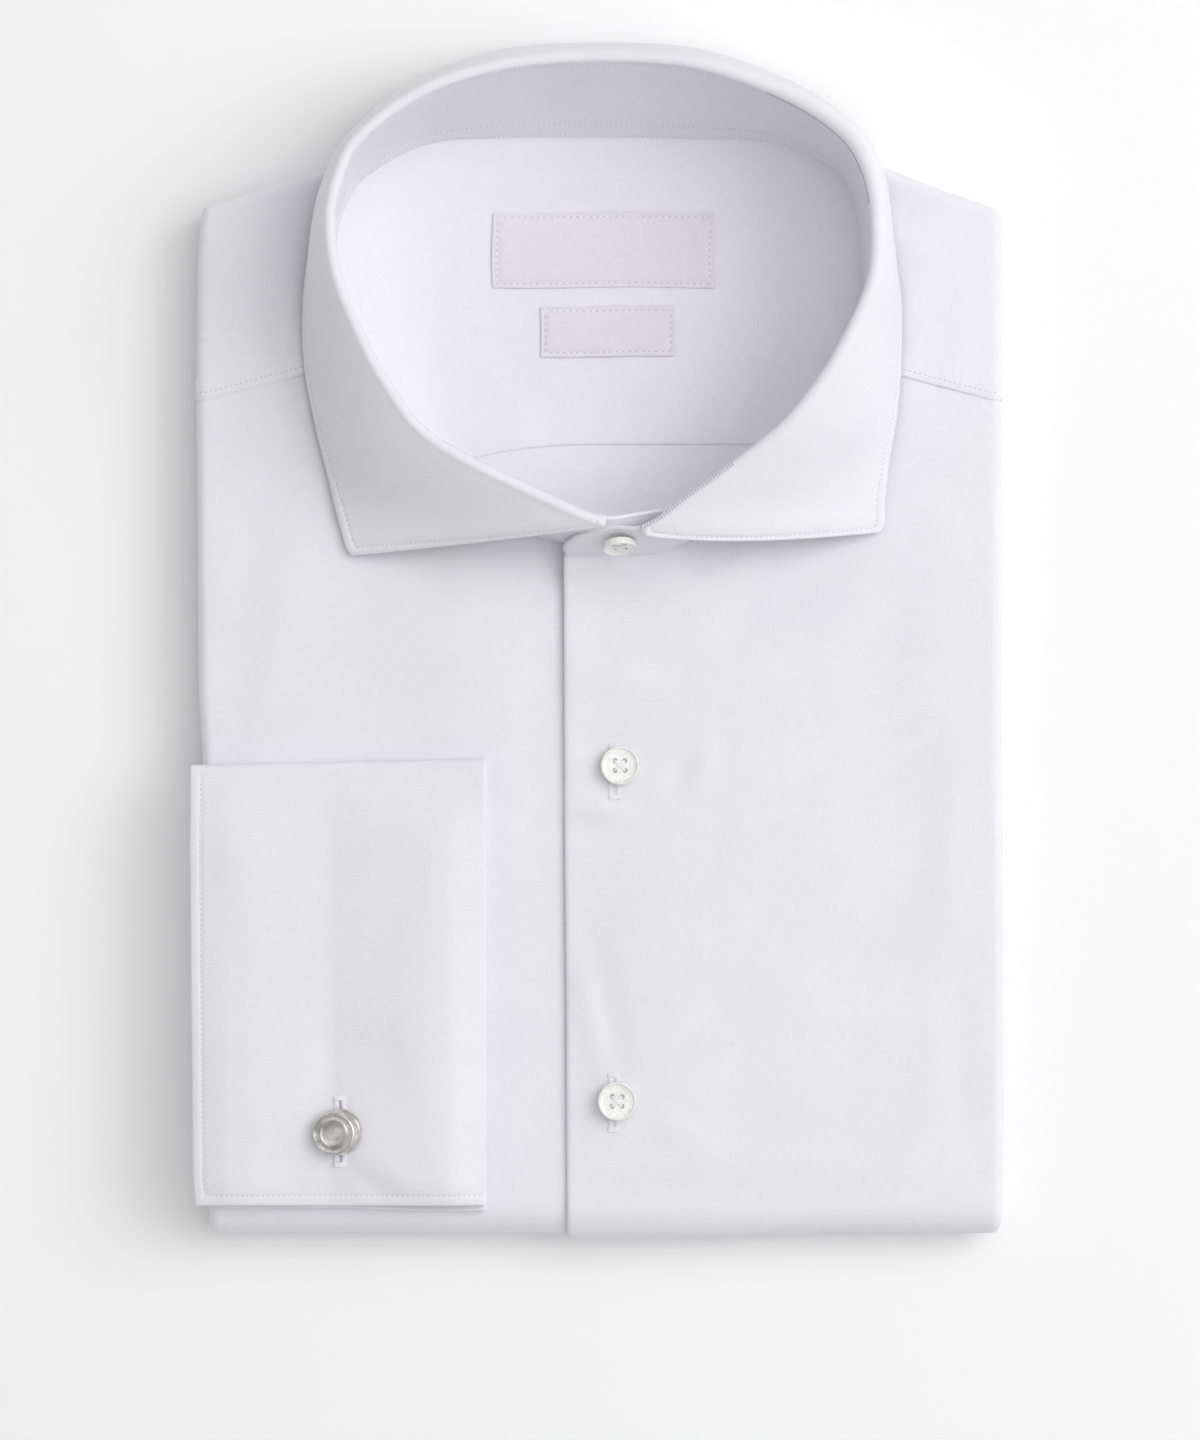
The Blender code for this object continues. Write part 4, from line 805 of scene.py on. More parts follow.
# ----------------------------------------
# Collar fall. Cutaway: two plies over a fused interlining, turned out and edge-stitched 2.4 mm in,
# sewn between the band's plies and rolled down over it, its points lying on the fronts.
FOLD_RADIUS, FALL_LAYER = 1.7, 1.1          # the roll over the band, and the fall's own wall
FALL_SWELL, FALL_OPEN_Y = 1.8, 131.0        # its spring; past this y it hangs free of the shirt
FALL_STITCH = 2.4

# Soft rolls across the fall. columns: station and reach along it, distance from the free edge and
# reach across it, height
FALL_ROLLS = [(3.4, 1.3, 22.0, 17.0, 0.55), (5.2, 1.5, 14.0, 15.0, -0.5),
              (20.2, 1.2, 14.0, 12.0, 0.45), (21.3, 1.0, 17.0, 14.0, -0.5)]


def fall():
    """Rows start inside the band, roll over the crest and run down to the free edge; columns run
    from the left front edge round the back to the right one. The border outside the stitches is
    puffed and the stitches lie in a groove."""
    ends = np.array([0, 0.012, 0.03, 0.05, 0.075, 0.1, 0.125, 0.15, 0.17, 0.19, 0.21, 0.235, 0.27,
                     0.32, 0.38, 0.45, 0.53, 0.62, 0.72, 0.83])
    at = np.concatenate([1 + ends, np.linspace(2, 22, 190), 23 - ends[::-1]])
    _, crest, edge, out = band_frame(at)
    resting = hidden_top(edge[:, 0], edge[:, 1]) + PANEL + GAP + FALL_LAYER + 0.5
    edge[:, 2] = np.where(edge[:, 1] < FALL_OPEN_Y, np.maximum(edge[:, 2], resting), edge[:, 2])
    up = np.array([0, 0, 1.0])
    set_back = (0.75 + 0.7 * bump(at, 18.0, 4.5))[:, None]
    lines = [crest + out * set_back - up * 4.2, crest + out * (set_back - 0.05) - up * 3.2,
             crest + out * (set_back - 0.4) - up * 2.3]
    corner = bump(at, 15.2, 2.4)[:, None]
    radius = FOLD_RADIUS * (1 + 0.7 * corner)
    centre = crest + out * radius - up * radius
    for a in np.radians([172, 165, 158, 150, 142, 130, 118, 102, 84, 66, 50, 34]):
        lines.append(centre + radius * (math.cos(a) * out + math.sin(a) * up))
    begin = lines[-1]
    long = np.linalg.norm(edge - begin, axis=1)
    shares = [(1 - 8.0 / long) * f for f in np.linspace(0, 1, 22)[1:]]
    by_edge = (6.5, 5.2, 4.2, 3.5, 3.1, 2.85, 2.6, 2.4, 2.2, 1.95, 1.6, 1.1, 0.6, 0.2, 0)
    shares += [1 - d / long for d in by_edge]
    from_front = 0.25 + 0.75 * smooth((at - 1) / 0.6)
    for f in shares:
        swell = FALL_SWELL * np.sin(math.pi * np.clip(f, 0, 1) ** 0.8) * from_front
        lines.append(begin + (edge - begin) * f[:, None] + (out + 0.6 * up) * swell[:, None])
    grid = np.stack(lines)
    normal = facing(grid, np.broadcast_to(out + up, grid.shape))
    across = run(grid[:, ::-1], 1)[:, ::-1]
    to_front = np.minimum(run(grid, 1), across)
    rows = np.arange(len(lines))[:, None]
    to_front = np.where(rows < 11, 99.0, to_front)
    free = run(grid[::-1], 0)[::-1]
    inside = np.minimum(to_front, free)
    relief = 0.16 * smooth(1 - np.abs(inside - 1.0) / 1.3)
    relief -= 0.2 * np.exp(-((inside - FALL_STITCH) / 0.38) ** 2)
    relief += 0.4 * smooth(1 - np.abs(to_front - 1.1) / 1.6) * smooth((at - 22.3) / 0.2)
    depth = np.clip(1 - free / 40.0, 0, 1)
    part = at[None, :]
    for station, reach, from_edge, across_reach, height in FALL_ROLLS:
        relief += height * bump(part, station, reach) * bump(free, from_edge, across_reach)
    relief += 0.2 * np.sin(part * 1.9 + 0.7) * depth * smooth(free / 6.0)
    return grid + normal * relief[..., None], normal, at


fall_grid, fall_up, fall_at = fall()
collar_fall = cloth("collar_fall", fall_grid, 1.0, COLLAR_COTTON,
                    ["collar_leaf"], toward=fall_up)
free_edge, free_up = inset(fall_grid, fall_up, 0, FALL_STITCH, True)
keep = np.minimum(run(fall_grid, 1)[-1], run(fall_grid[:, ::-1], 1)[-1][::-1]) > FALL_STITCH + 0.4
fall_rows = [(free_edge[keep], free_up[keep])]
for at_end in (False, True):
    edge_line, edge_up = inset(fall_grid, fall_up, 1, FALL_STITCH, at_end)
    rows = slice(16, np.argmax(run(fall_grid[::-1], 0)[::-1][:, 0] < FALL_STITCH + 0.4))
    fall_rows.append((edge_line[rows], edge_up[rows]))
stitching("collar_fall_stitches", fall_rows)

# The right leaf's fold is whipped by hand near the front: stitches laid across the roll.
knot = fall_at > 21.4
whip, whip_along, whip_up = spread(fall_grid[8, knot], fall_up[8, knot], 0.9)
whip_across = np.cross(whip_up, whip_along)
grains("collar_roll_stitches", whip + whip_up * 0.1, whip_across, whip_up, 1.5, 0.24, WHITE_THREAD)
# Between the whip stitches, darker grains are painted shade for the needle holes.
grains("collar_roll_needle_holes", whip + whip_along * 0.45, whip_across, whip_up, 1.4, 0.2,
       HOLE_SHADE_COTTON)

# Where the roll opens at the back right, a row of dark grains along the seam under it is painted shade:
# the thin shaded line of the seam's ditch.
opened = (fall_at > 13.8) & (fall_at < 16.9)
ditch, ditch_along, ditch_up = spread(fall_grid[5, opened], fall_up[5, opened], 0.9)
grains("collar_seam_painted_shade", ditch - ditch_up * 0.08, ditch_along, ditch_up, 1.3, 0.2,
       yarn("cotton_in_the_shade_of_the_seam", "#807E86", 0.9))

# ----------------------------------------
# Sleeve. The stretch of one sleeve that comes out of the cuff, folded flat, and goes round the
# pack's side to the back.
CUFF_HALF, CUFF_INNER, SLEEVE_WALL = 2.55, -106.0, 1.8
CUFF_LEVEL = CORE_TOP + PANEL + GAP + CUFF_HALF


def sleeve():
    """Rows run out of the cuff, round the fold over the pack's side and down it; columns run along
    the pack, with long shallow drags."""
    ys = np.linspace(-154.0, -38.0, 90)
    side = read(LEFT_SIDE, ys) - SLEEVE_WALL - 0.5
    top = CUFF_LEVEL + SLEEVE_WALL / 2
    middle = side + EDGE_ROUND
    lines = [np.stack([0 * ys + CUFF_INNER + back, ys, 0 * ys + top], -1)
             for back in (1.0, -0.5, -1.4)]
    for a in np.linspace(0, math.pi / 2, 10):
        lines.append(np.stack([middle - EDGE_ROUND * math.sin(a), ys,
                               0 * ys + top - EDGE_ROUND * (1 - math.cos(a))], -1))
    for z in np.linspace(17.0, 0.9, 16):
        drag = 0.25 * np.sin(ys / 9.0 + z / 6.0) + 0.35 * np.sin(ys / 23.0 - z / 9.0 + 1.0)
        x = side + (drag + 0.35) * math.sin(math.pi * (z - 0.9) / 18)
        lines.append(np.stack([x, ys, 0 * ys + z], -1))
    return cloth("sleeve_end", np.stack(lines), 1.5, WHITE_COTTON, ["sleeve"],
                 toward=(-1, 0, 0.6))


sleeve()

# ----------------------------------------
# Double cuff. Interlined, turned back on itself at the hand and bent round so that its two stitched
# ends kiss; it lies flat with all four buttonholes in line, and lifts over the link's toggle.
PLY_CUFF, CUFF_INSIDE, CUFF_HAND, CUFF_END = 0.9, 0.25, -31.0, -156.2
CUFF_TOP = (-33.6, -31.8)                   # y of the long fold, at the left and at the hand
CUFF_LEFT = np.array([(-156.2, -111.9), (-149.0, -112.6), (-99.0, -113.1), (-57.0, -113.5),
                      (-33.0, -113.3)])     # columns: y, x of the turned-back edge
LINK = np.array([-71.9, -135.7])            # middle of the link
LINK_LIFT, LINK_REACH = 2.3, 26.0           # its toggle lifts the cuff by this, and this far out
CUFF_STITCH = 2.6

# Lift across the cuff: a soft valley runs up from the link, the hand edge rolls down. columns: x, lift
CUFF_WAVE = np.array([(-113.5, 0.9), (-104.0, 2.0), (-96.0, 1.9), (-78.0, -0.1), (-74.5, -0.4),
                      (-71.0, 0.0), (-54.0, 2.0), (-46.0, 2.4), (-40.5, 2.2), (-30.5, -0.7)])
CUFF_RELIEF = np.array([                    # as FRONT_RELIEF
    (-90.0, -80.7, 14.0, 1.2, 3.0, -0.28), (-92.0, -84.0, 16.0, 6.0, 6.0, 0.2),
    (-62.0, -152.0, 16.0, 5.0, -34.0, -0.45), (-57.0, -147.0, 18.0, 6.0, -30.0, 0.35),
    (-88.0, -128.0, 26.0, 10.0, 60.0, 0.45), (-100.0, -60.0, 34.0, 9.0, 100.0, 0.35),
    (-56.0, -70.0, 34.0, 9.0, 84.0, -0.35), (-50.0, -120.0, 34.0, 8.0, 95.0, 0.3),
    (-84.0, -45.0, 30.0, 7.0, 8.0, -0.3),
])


def link_hill(x, y):
    """The toggle under the cuff lifts every layer in a cosine hill."""
    away = np.hypot(x - LINK[0], y - LINK[1]) / LINK_REACH
    return LINK_LIFT * (0.5 + 0.5 * np.cos(math.pi * np.minimum(away, 1)))


def cuff_lift(x, y):
    """The upper layers' height over their level: the hill, the wave across the cuff, stronger
    toward the link, and the pressed relief."""
    dense = np.linspace(-113.5, -29.8, 400)
    wave = read(CUFF_WAVE, dense)
    wave[10:-10] = np.convolve(wave, np.ones(21) / 21, "same")[10:-10]
    strength = smooth((-33.0 - y) / 26.0) * (1 + 0.7 * smooth((-80.0 - y) / 50.0))
    across = np.interp(x, dense, wave) * (strength * smooth((y + 164.0) / 16.0))
    return link_hill(x, y) + across + pressed(x, y, CUFF_RELIEF, CUFF_END - 4, CUFF_TOP[0])


def cuff():
    """Columns run along the cuff: the lower layers, the long fold, the upper layers. Rows run from
    the turned-back edge to the hand, round the hairpin and back inside. Returns the grid and, at
    each of its points, a way that leads out of the cloth's inside."""
    near_link = np.linspace(-1.6, 1.6, 17) + LINK[0]
    shared = np.unique(np.concatenate([np.linspace(-103.5, LINK[0] - 2.6, 28), near_link,
                                       np.linspace(LINK[0] + 2.6, -33.2, 32)]))
    border = np.array([0.25, 0.7, 1.3, 1.8, 2.15, 2.5, 2.85, 3.3, 4.2, 5.6, 7.3])
    steps = np.unique(np.concatenate([[0, 0.3, 0.9, 1.5, 1.95, 2.3, 2.6, 2.9, 3.4, 4.2],
                                      np.linspace(5.5, 36, 42), np.linspace(37.5, 120.05, 62)]))
    hand = np.linspace(math.pi / 2, -math.pi / 2, 12)[1:-1]
    middle, bend = (CUFF_HALF + CUFF_INSIDE) / 2, (CUFF_HALF - CUFF_INSIDE) / 2
    end_x = CUFF_HAND - bend
    outer_run = 2 + len(border) + len(shared)
    inner_run = 2 + len(shared)
    half = np.concatenate([np.full(outer_run, CUFF_HALF), middle + bend * np.sin(hand),
                           np.full(inner_run, CUFF_INSIDE)])
    over = np.concatenate([np.zeros(outer_run), bend * np.cos(hand), np.zeros(inner_run)])
    face = np.concatenate([np.ones(outer_run), np.sin(hand), -np.ones(inner_run)])
    bulge = np.concatenate([np.zeros(outer_run), np.cos(hand), np.zeros(inner_run)])
    lines, ways = [], []
    bends = list(np.linspace(0, math.pi, 16)[1:-1])
    for turn in [0.0] * len(steps) + bends + [math.pi] * len(steps):
        rising = len(lines) > len(steps)
        k = 2 * len(steps) - 1 + len(bends) - len(lines) if rising else len(lines)
        value = steps[min(max(k, 0), len(steps) - 1)]
        y_row = CUFF_END + value - (0.9 if turn == 0 else 0.0)
        edge = read(CUFF_LEFT, y_row)
        free = edge + (CUFF_INNER - 0.6 - edge) * (1 - smooth(turn / 1.3))
        x = np.concatenate([[free], free + border * (1.0 if turn > 1.3 else 0.2), shared,
                            np.full(len(hand) + 2, end_x), shared[::-1], [CUFF_INNER]]) + over
        top_y = np.interp(x, [CUFF_LEFT[-1, 1], CUFF_HAND], CUFF_TOP) - CUFF_HALF
        slant = (top_y - CUFF_TOP[0] + CUFF_HALF) * value / steps[-1]
        y = np.where(np.sin(turn) > 1e-6, top_y + half * math.sin(turn), y_row + slant)
        if turn == 0:
            y = y - 0.8 * smooth((x + 75.0) / 30.0) * smooth(1 - value / 8.0)
        share = smooth(turn / math.pi)
        z = CUFF_LEVEL - half * math.cos(turn) + cuff_lift(x, y) * share + link_hill(x, y) * (1 - share)
        lines.append(np.stack([x, y, z], -1))
        ways.append(np.stack([bulge, face * math.sin(turn), -face * math.cos(turn)], -1))
    return np.stack(lines, 1), np.stack(ways, 1)


cuff_grid, cuff_way = cuff()
cuff_up = facing(cuff_grid, cuff_way)
upper = slice(cuff_grid.shape[1] // 2 + 8, None)
top_face = slice(0, 90)
far_in = np.minimum(run(cuff_grid, 0), run(cuff_grid[:, ::-1], 1)[:, ::-1])
stitched = 0.14 * smooth(1 - np.abs(far_in - 1.1) / 1.4)
stitched -= 0.24 * np.exp(-((far_in - CUFF_STITCH) / 0.38) ** 2)
outer_face = np.zeros(cuff_grid.shape[:2])
outer_face[top_face, upper] = 1.0
slit_x = np.abs(cuff_grid[..., 0] - LINK[0] - 0.25 * np.sin(cuff_grid[..., 1] / 4.0)) / 0.35
slit_y = np.abs(cuff_grid[..., 1] - LINK[1])
stitched = stitched - 0.85 * smooth(1.4 - slit_x) * smooth((8.6 - slit_y) / 0.8)
cuff_grid = cuff_grid + cuff_up * (stitched * outer_face)[..., None]
double_cuff = cloth("double_cuff", cuff_grid, PLY_CUFF, COLLAR_COTTON, ["cuff"],
                    toward=cuff_way)
cuff_up = facing(cuff_grid[top_face, upper])
cuff_face = cuff_grid[top_face, upper]
cuff_rows = [inset(cuff_face[:, :-9], cuff_up[:, :-9], 0, CUFF_STITCH),
             inset(cuff_face[9:], cuff_up[9:], 1, CUFF_STITCH, True)]
stitching("double_cuff_stitches", cuff_rows)

# ----------------------------------------
# Buttonholes. Two ribs of close zigzag stitches in the same white thread along a cut slit, with a
# bar tack at each end.
ZIGZAG_PITCH, SLIT_HALF = 0.36, 0.35


def left_front_top(x, y):
    """Height of the over front's face."""
    lift = PANEL + left_front_lift(x, y)
    return hidden_top(x, y) + lift + pressed(x, y, FRONT_RELIEF, ROLL_Y, 44.0)


def buttonhole(name, x, low, high, width, surface):
    """Grains laid across the slit: a rib of them on each side, and wider ones at both ends."""
    ys = np.arange(low + 1.2, high - 1.2, ZIGZAG_PITCH)
    rib = 0.5 * width - SLIT_HALF
    places, long, thick = [], [], []
    for side in (-1, 1):
        mid = side * (SLIT_HALF + rib / 2) + 0.1 * np.sin(ys * 1.1 + side)
        places.append(np.column_stack([x + mid, ys + 0.05 * side, 0 * ys]))
        long.append(rib + 0.12 * np.sin(ys * 9.0 + side))
        thick.append(0 * ys + 0.21)
    for end in (low, high):
        row = end + np.sign(low + high - 2 * end) * np.array([0.1, 0.4, 0.7, 1.0])
        places.append(np.column_stack([x + 0 * row, row, 0 * row + 0.1]))
        long.append(0 * row + width)
        thick.append(0 * row + 0.24)
    middle = np.concatenate(places)
    middle[:, 2] += surface(middle[:, 0], middle[:, 1]) + 0.16
    along = np.tile([1.0, 0, 0], (len(middle), 1))
    up = np.tile([0, 0, 1.0], (len(middle), 1))
    return grains(name, middle, along, up, np.concatenate(long), np.concatenate(thick), WHITE_THREAD)


buttonhole("upper_buttonhole", 4.8, -43.2, -27.8, 3.4, left_front_top)
buttonhole("lower_buttonhole", 4.6, -136.2, -119.9, 3.4, left_front_top)
buttonhole("cuff_buttonhole", LINK[0] + 0.2, LINK[1] - 9.9, LINK[1] + 9.8, 3.6,
           lambda x, y: CUFF_LEVEL + CUFF_HALF + cuff_lift(x, y))

# ----------------------------------------
# Buttons. Four-hole shirt buttons of off-white polyester resin with a pearl swirl, turned with a
# raised rim and polished, sewn on with crossed thread.
BUTTON_PROFILE = np.array([                 # columns: radius, height, as shares of the button's
    (0.0, 0.12), (0.5, 0.12), (0.8, 0.0), (0.93, 0.05), (0.985, 0.2), (1.0, 0.42), (1.0, 0.62),
    (0.99, 0.82), (0.965, 0.95), (0.93, 1.0), (0.9, 0.98), (0.87, 0.9), (0.84, 0.84), (0.78, 0.8),
    (0.66, 0.75), (0.3, 0.7), (0.0, 0.68)])
BUTTON_HEIGHT, HOLE_PITCH, HOLE_RADIUS = 2.1, 2.7, 0.62
FRONT_BUTTON, BAND_BUTTON = 5.4, 4.7        # radii
BAND_BUTTON_AT = np.array([23.2, 23.3, 23.4])   # rows of STATIONS beside it, at it, beside it
BAND_BUTTON_RISE = 0.76                     # its place up the tab, as a share of the height


def pearl(name):
    """Polyester resin with a pearl swirl: polished to a gloss, cream with greyer veils."""
    made, tree, shader = new_finish(name)
    place = add(tree, "TexCoord").outputs["Object"]
    bend = add(tree, "TexNoise", [("Vector", place)], Scale=150.0, Detail=2.0, Distortion=1.0)
    veil = add(tree, "TexWave", [("Vector", bend.outputs["Color"])], Scale=2.2, Distortion=3.0)
    tint = add(tree, "Mix", [("Factor", veil.outputs["Fac"])],
               [(6, linear("#F1F1ED")), (7, linear("#E7E7E1"))], data_type="RGBA")
    tree.links.new(tint.outputs[2], shader.inputs["Base Color"])
    rough = add(tree, "MapRange", [("Value", bend.outputs["Fac"])], To_Min=0.16, To_Max=0.3)
    tree.links.new(rough.outputs[0], shader.inputs["Roughness"])
    set_up(shader, IOR=1.55, Coat_Weight=0.4, Coat_Roughness=0.08)
    return made


PEARL_RESIN = pearl("pearl_polyester_resin")


def button(name, node, radius, place):
    """The profile turned on a fine polar grid, with the four holes sunk into the top; then the
    thread cross, three strands each way. place puts both on the shirt."""
    fine = np.concatenate([np.linspace(0, 9, 40), np.linspace(9, 13.2, 22)[1:],
                           np.linspace(13.2, 15.7, 44)[1:], [15.85, 15.97]])
    known = np.arange(len(BUTTON_PROFILE))
    row = np.stack([np.interp(fine, known, BUTTON_PROFILE[:, k]) for k in (0, 1)], -1)
    turn = np.linspace(0, 2 * math.pi, 132, endpoint=False)
    x = radius * row[:, :1] * np.cos(turn)
    y = radius * row[:, :1] * np.sin(turn)
    z = BUTTON_HEIGHT * np.repeat(row[:, 1:], len(turn), 1)
    hole = np.hypot(np.abs(x) - HOLE_PITCH / 2, np.abs(y) - HOLE_PITCH / 2)
    z -= np.where(fine[:, None] > 12, 1.0 * smooth((HOLE_RADIUS + 0.1 - hole) / 0.2), 0)
    points = np.stack([x, y, z], -1)[1:]
    quads, caps = tube_faces(*points.shape[:2])
    put = np.array(place.to_3x3())
    shift = np.array(place.translation)
    piece(name, points.reshape(-1, 3) @ put.T + shift, quads.tolist() + caps.tolist(), PEARL_RESIN,
          [node], angle=40)
    reach = HOLE_PITCH * math.sqrt(2)
    middle, along = [], []
    for turn_by in (45, 135):
        way = np.array([math.cos(math.radians(turn_by)), math.sin(math.radians(turn_by)), 0])
        side = np.array([-way[1], way[0], 0])
        for k in (-1, 0, 1):
            middle.append(side * 0.24 * k + [0, 0, 0.66 * BUTTON_HEIGHT + 0.14 + 0.1 * (turn_by > 90)])
            along.append(way)
    middle = np.array(middle) @ put.T + shift
    along = np.array(along) @ put.T
    up = np.tile(put @ [0, 0, 1.0], (6, 1))
    grains(name + "_thread", middle, along, up, reach + 0.2, THREAD, WHITE_THREAD)


def laid(x, y, z, tilt, toward):
    """A place on the shirt, tilted by some degrees toward a compass angle from +X."""
    axis = Vector((-math.sin(math.radians(toward)), math.cos(math.radians(toward)), 0))
    return Matrix.Translation((x, y, z)) @ Matrix.Rotation(math.radians(tilt), 4, axis)


button("upper_front_button", "front_button_1", FRONT_BUTTON, laid(6.1, -33.9, 20.75, 6.0, 55))
button("lower_front_button", "front_button_2", FRONT_BUTTON, laid(5.3, -127.7, 20.75, 5.0, 40))
tab_foot, tab_crest, _, _ = band_frame(BAND_BUTTON_AT)
tab_head = tab_crest - [0, 0, STAND_DROP]
tab_up = Vector(tab_head[1] - tab_foot[1]).normalized()
tab_along = Vector((*(tab_foot[0, :2] - tab_foot[2, :2]), 0.0)).normalized()
tab_out = tab_along.cross(tab_up).normalized()
if tab_out.y > 0:
    tab_out = -tab_out
tab_along = tab_up.cross(tab_out)
tab_middle = Vector(tab_foot[1] + (tab_head[1] - tab_foot[1]) * BAND_BUTTON_RISE)
tab_middle = tab_middle + tab_out * (BAND + 1.5)
button("band_button", "collar_button", BAND_BUTTON, Matrix.Translation(tab_middle)
       @ Matrix((tab_along, tab_up, tab_out)).transposed().to_4x4())

# ----------------------------------------
# Cufflink. A turned and brushed round face in one with its post, leaning as it lies in the cuff,
# and the toggle under the cuff. The ring round its middle is left plain.
LINK_FACE = 6.0                             # radius of the face


def brushed(name, colour, rough):
    """Rhodium-plated brass, circle-brushed: a satin grey, a little cloudy, with fine scratches that
    blur what it reflects."""
    made, tree, shader = new_finish(name)
    along = add(tree, "UVMap", uv_map="cloth").outputs["UV"]
    fine = add(tree, "Mapping", [("Vector", along)], Scale=(60, 9000, 1))
    scratch = add(tree, "TexNoise", [("Vector", fine.outputs["Vector"])], Scale=1.0, Detail=3.0)
    place = add(tree, "TexCoord").outputs["Object"]
    cloud = add(tree, "TexNoise", [("Vector", place)], Scale=320.0, Detail=3.0)
    patch = add(tree, "MapRange", [("Value", cloud.outputs["Fac"])], From_Min=0.3, From_Max=0.7)
    tint = add(tree, "Mix", [("Factor", patch.outputs[0])], [(6, linear(colour)), (7, linear("#BAB9B4"))],
               data_type="RGBA")
    tree.links.new(tint.outputs[2], shader.inputs["Base Color"])
    span = add(tree, "MapRange", [("Value", scratch.outputs["Fac"])], To_Min=rough - 0.08,
               To_Max=rough + 0.12)
    tree.links.new(span.outputs[0], shader.inputs["Roughness"])
    relief = add(tree, "Bump", [("Height", scratch.outputs["Fac"])], Strength=0.5, Distance=0.00002)
    tree.links.new(relief.outputs["Normal"], shader.inputs["Normal"])
    set_up(shader, Metallic=1.0)
    return made


BRUSHED_METAL = brushed("brushed_rhodium_plate", "#F4F3EE", 0.24)


def link_head():
    """The post and face as one lathe profile whose centre drifts and tilts as it rises. columns:
    centre x, y, height over the cuff, radius as a share of the face's, tilt in degrees."""
    rows = np.array([
        (0.0, 0.0, -5.0, 0.15, 0.0), (0.0, 0.0, 0.3, 0.15, 0.0), (0.0, 0.0, 0.75, 0.86, -4.0),
        (0.0, 0.0, 0.95, 0.98, -4.0), (0.0, 0.0, 1.2, 1.05, -5.0), (0.0, 0.0, 1.5, 1.07, -6.0),
        (-0.2, -0.1, 1.8, 1.06, -7.0), (-0.4, -0.1, 2.05, 1.02, -8.0), (-0.7, -0.2, 2.3, 0.99, -9.0),
        (-0.9, -0.25, 2.6, 0.985, -9.0), (-1.45, -0.4, 3.35, 0.985, -9.0),
        (-1.55, -0.4, 3.55, 0.975, -9.0), (-1.6, -0.4, 3.68, 0.95, -9.0),
        (-1.6, -0.4, 3.7, 0.92, -9.0), (-1.6, -0.4, 3.66, 0.895, -9.0),
        (-1.6, -0.4, 3.5, 0.875, -9.0), (-1.6, -0.4, 3.47, 0.84, -9.0), (-1.6, -0.4, 3.47, 0.70, -9.0),
        (-1.6, -0.4, 3.5, 0.66, -9.0), (-1.6, -0.4, 3.66, 0.645, -9.0), (-1.6, -0.4, 3.7, 0.625, -9.0),
        (-1.6, -0.4, 3.66, 0.605, -9.0), (-1.6, -0.4, 3.45, 0.59, -9.0), (-1.6, -0.4, 3.38, 0.56, -9.0),
        (-1.6, -0.4, 3.36, 0.35, -9.0), (-1.6, -0.4, 3.36, 0.02, -9.0)])
    turn = np.linspace(0, 2 * math.pi, 112, endpoint=False)
    base = CUFF_LEVEL + CUFF_HALF + LINK_LIFT
    lean = np.radians(rows[:, 4:5])
    radius = rows[:, 3:4] * LINK_FACE
    points = np.stack([LINK[0] + rows[:, 0:1] + radius * np.cos(turn) * np.cos(lean),
                       LINK[1] + rows[:, 1:2] + radius * np.sin(turn),
                       base + rows[:, 2:3] - radius * np.cos(turn) * np.sin(lean)], -1)
    quads, caps = tube_faces(len(rows), len(turn))
    far = np.cumsum(np.r_[0, np.hypot(np.diff(rows[:, 2]), np.diff(radius[:, 0]))])
    uv = np.stack(np.broadcast_arrays(turn[None, :] * 6, far[:, None]), -1).reshape(-1, 2)
    return piece("link_head", points.reshape(-1, 3), quads.tolist() + caps.tolist(), BRUSHED_METAL,
                 ["cufflink_face"], uv, angle=40)


link_head()
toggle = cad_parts["cufflink_toggle"]
toggle.data.materials.clear()
toggle.data.materials.append(brushed("brushed_toggle_metal", "#C0BFBA", 0.35))

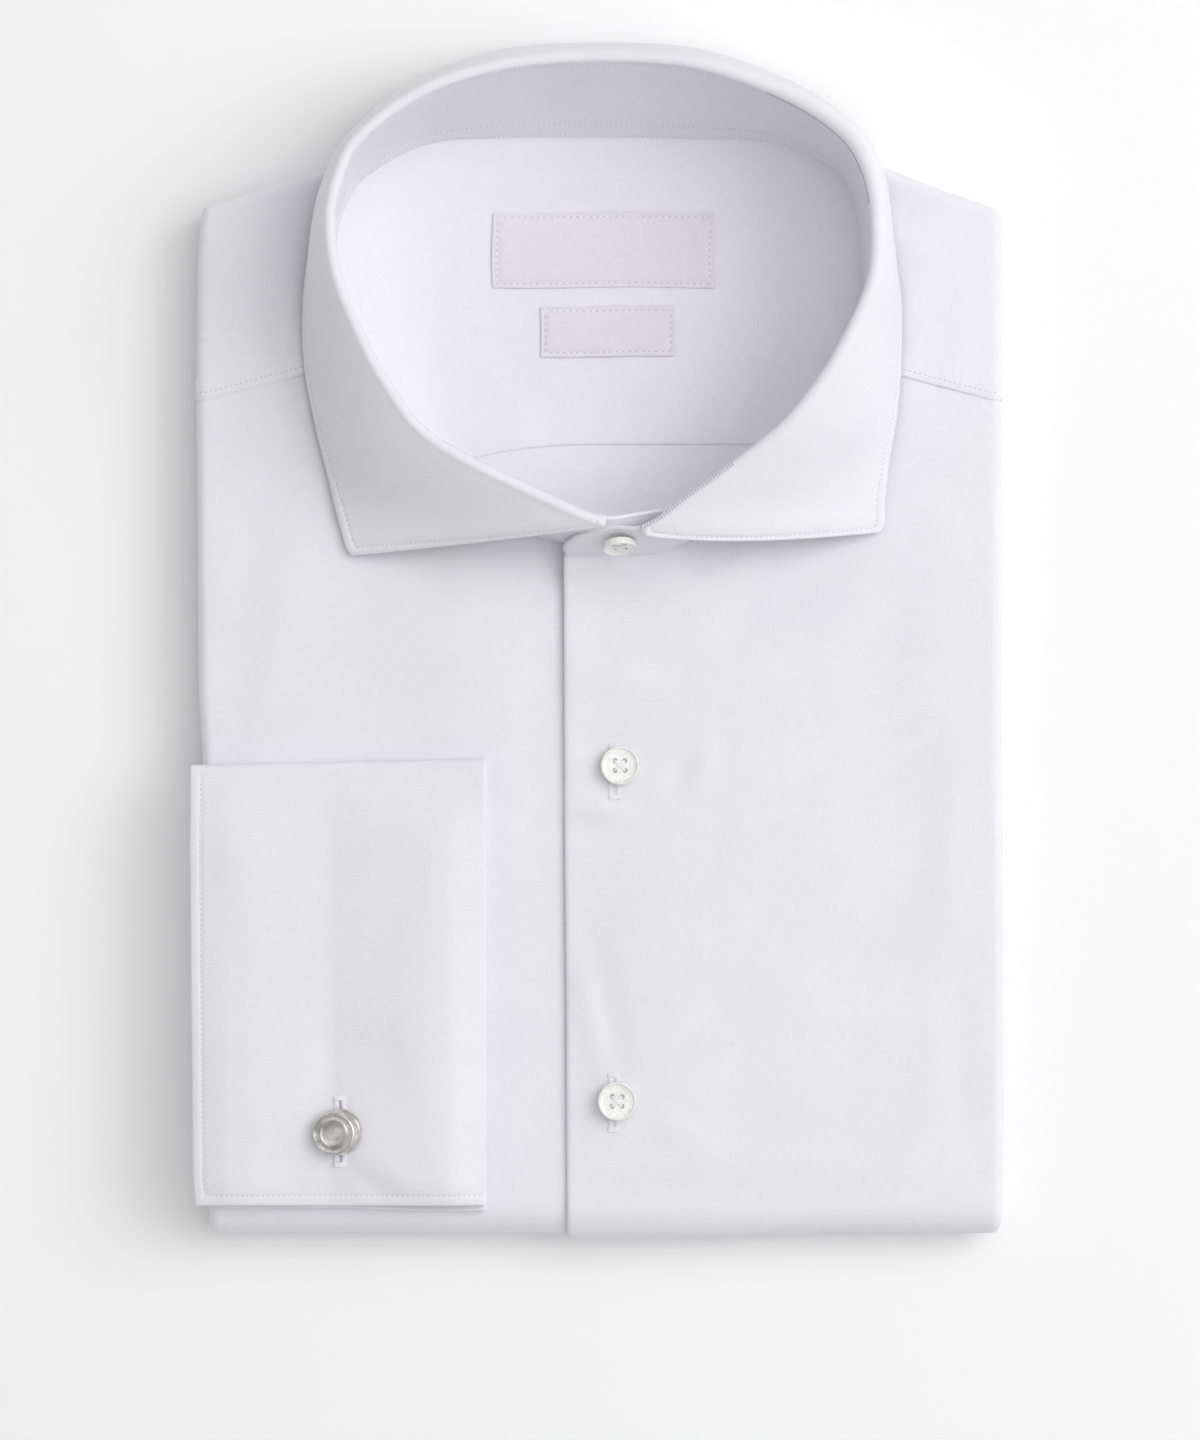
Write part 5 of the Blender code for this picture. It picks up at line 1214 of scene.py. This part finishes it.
# ----------------------------------------
# Table, light and camera: a pale table, a broad soft light from the upper right, a lower one
# beside it, a small card over the metal, and a pale room.
floor_mesh = bpy.data.meshes.new("pale_table")
floor_mesh.from_pydata([(-2, -2, 0), (2, -2, 0), (2, 2, 0), (-2, 2, 0)], [], [(0, 1, 2, 3)])
table = bpy.data.objects.new("pale_table", floor_mesh)
bpy.context.scene.collection.objects.link(table)
paper, _, paper_shader = new_finish("pale_paper")
set_up(paper_shader, Base_Color=linear("#F7F7F7"), Roughness=0.9)
floor_mesh.materials.append(paper)

world = bpy.data.worlds.new("pale_room")
world.use_nodes = True
room = world.node_tree
upward = add(room, "SeparateXYZ", [("Vector", add(room, "TexCoord").outputs["Generated"])])
pale = add(room, "MapRange", [("Value", upward.outputs["Z"])], To_Min=0.66, To_Max=0.385)
room.links.new(pale.outputs[0], room.nodes["Background"].inputs["Strength"])
room.nodes["Background"].inputs["Color"].default_value = (1.0, 1.0, 1.0, 1.0)
bpy.context.scene.world = world


def lamp(name, azimuth, height, away, size, power):
    """A square area light at an azimuth from +X and a height in degrees, turned to the shirt."""
    data = bpy.data.lights.new(name, "AREA")
    data.size = size
    data.energy = power
    made = bpy.data.objects.new(name, data)
    a, e = math.radians(azimuth), math.radians(height)
    spot = Vector((math.cos(a) * math.cos(e), math.sin(a) * math.cos(e), math.sin(e))) * away
    made.location = spot
    made.rotation_euler = (-spot).to_track_quat("-Z", "Y").to_euler()
    bpy.context.scene.collection.objects.link(made)


lamp("soft_key", 20.0, 62.0, 2.1, 2.4, 25.2)
lamp("side_light", 20.0, 42.0, 2.1, 1.2, 9.8)
lamp("top_card", 172.0, 70.0, 2.2, 0.5, 0.9)

# The camera looks straight down. Half the height of what it frames, and its distance from there
FRAME_HALF, CAMERA_AWAY = 201.6, 1600.0
CAMERA_AT = (0.00045, -0.02245, 1.6185)     # metres
camera = bpy.data.cameras.new("camera")
camera.sensor_fit = "VERTICAL"
camera.sensor_height = 24.0
camera.lens = camera.sensor_height / 2 / (FRAME_HALF / CAMERA_AWAY)
viewer = bpy.data.objects.new("camera", camera)
viewer.location = CAMERA_AT
bpy.context.scene.collection.objects.link(viewer)
bpy.context.scene.camera = viewer
bpy.context.scene.view_settings.view_transform = "Standard"
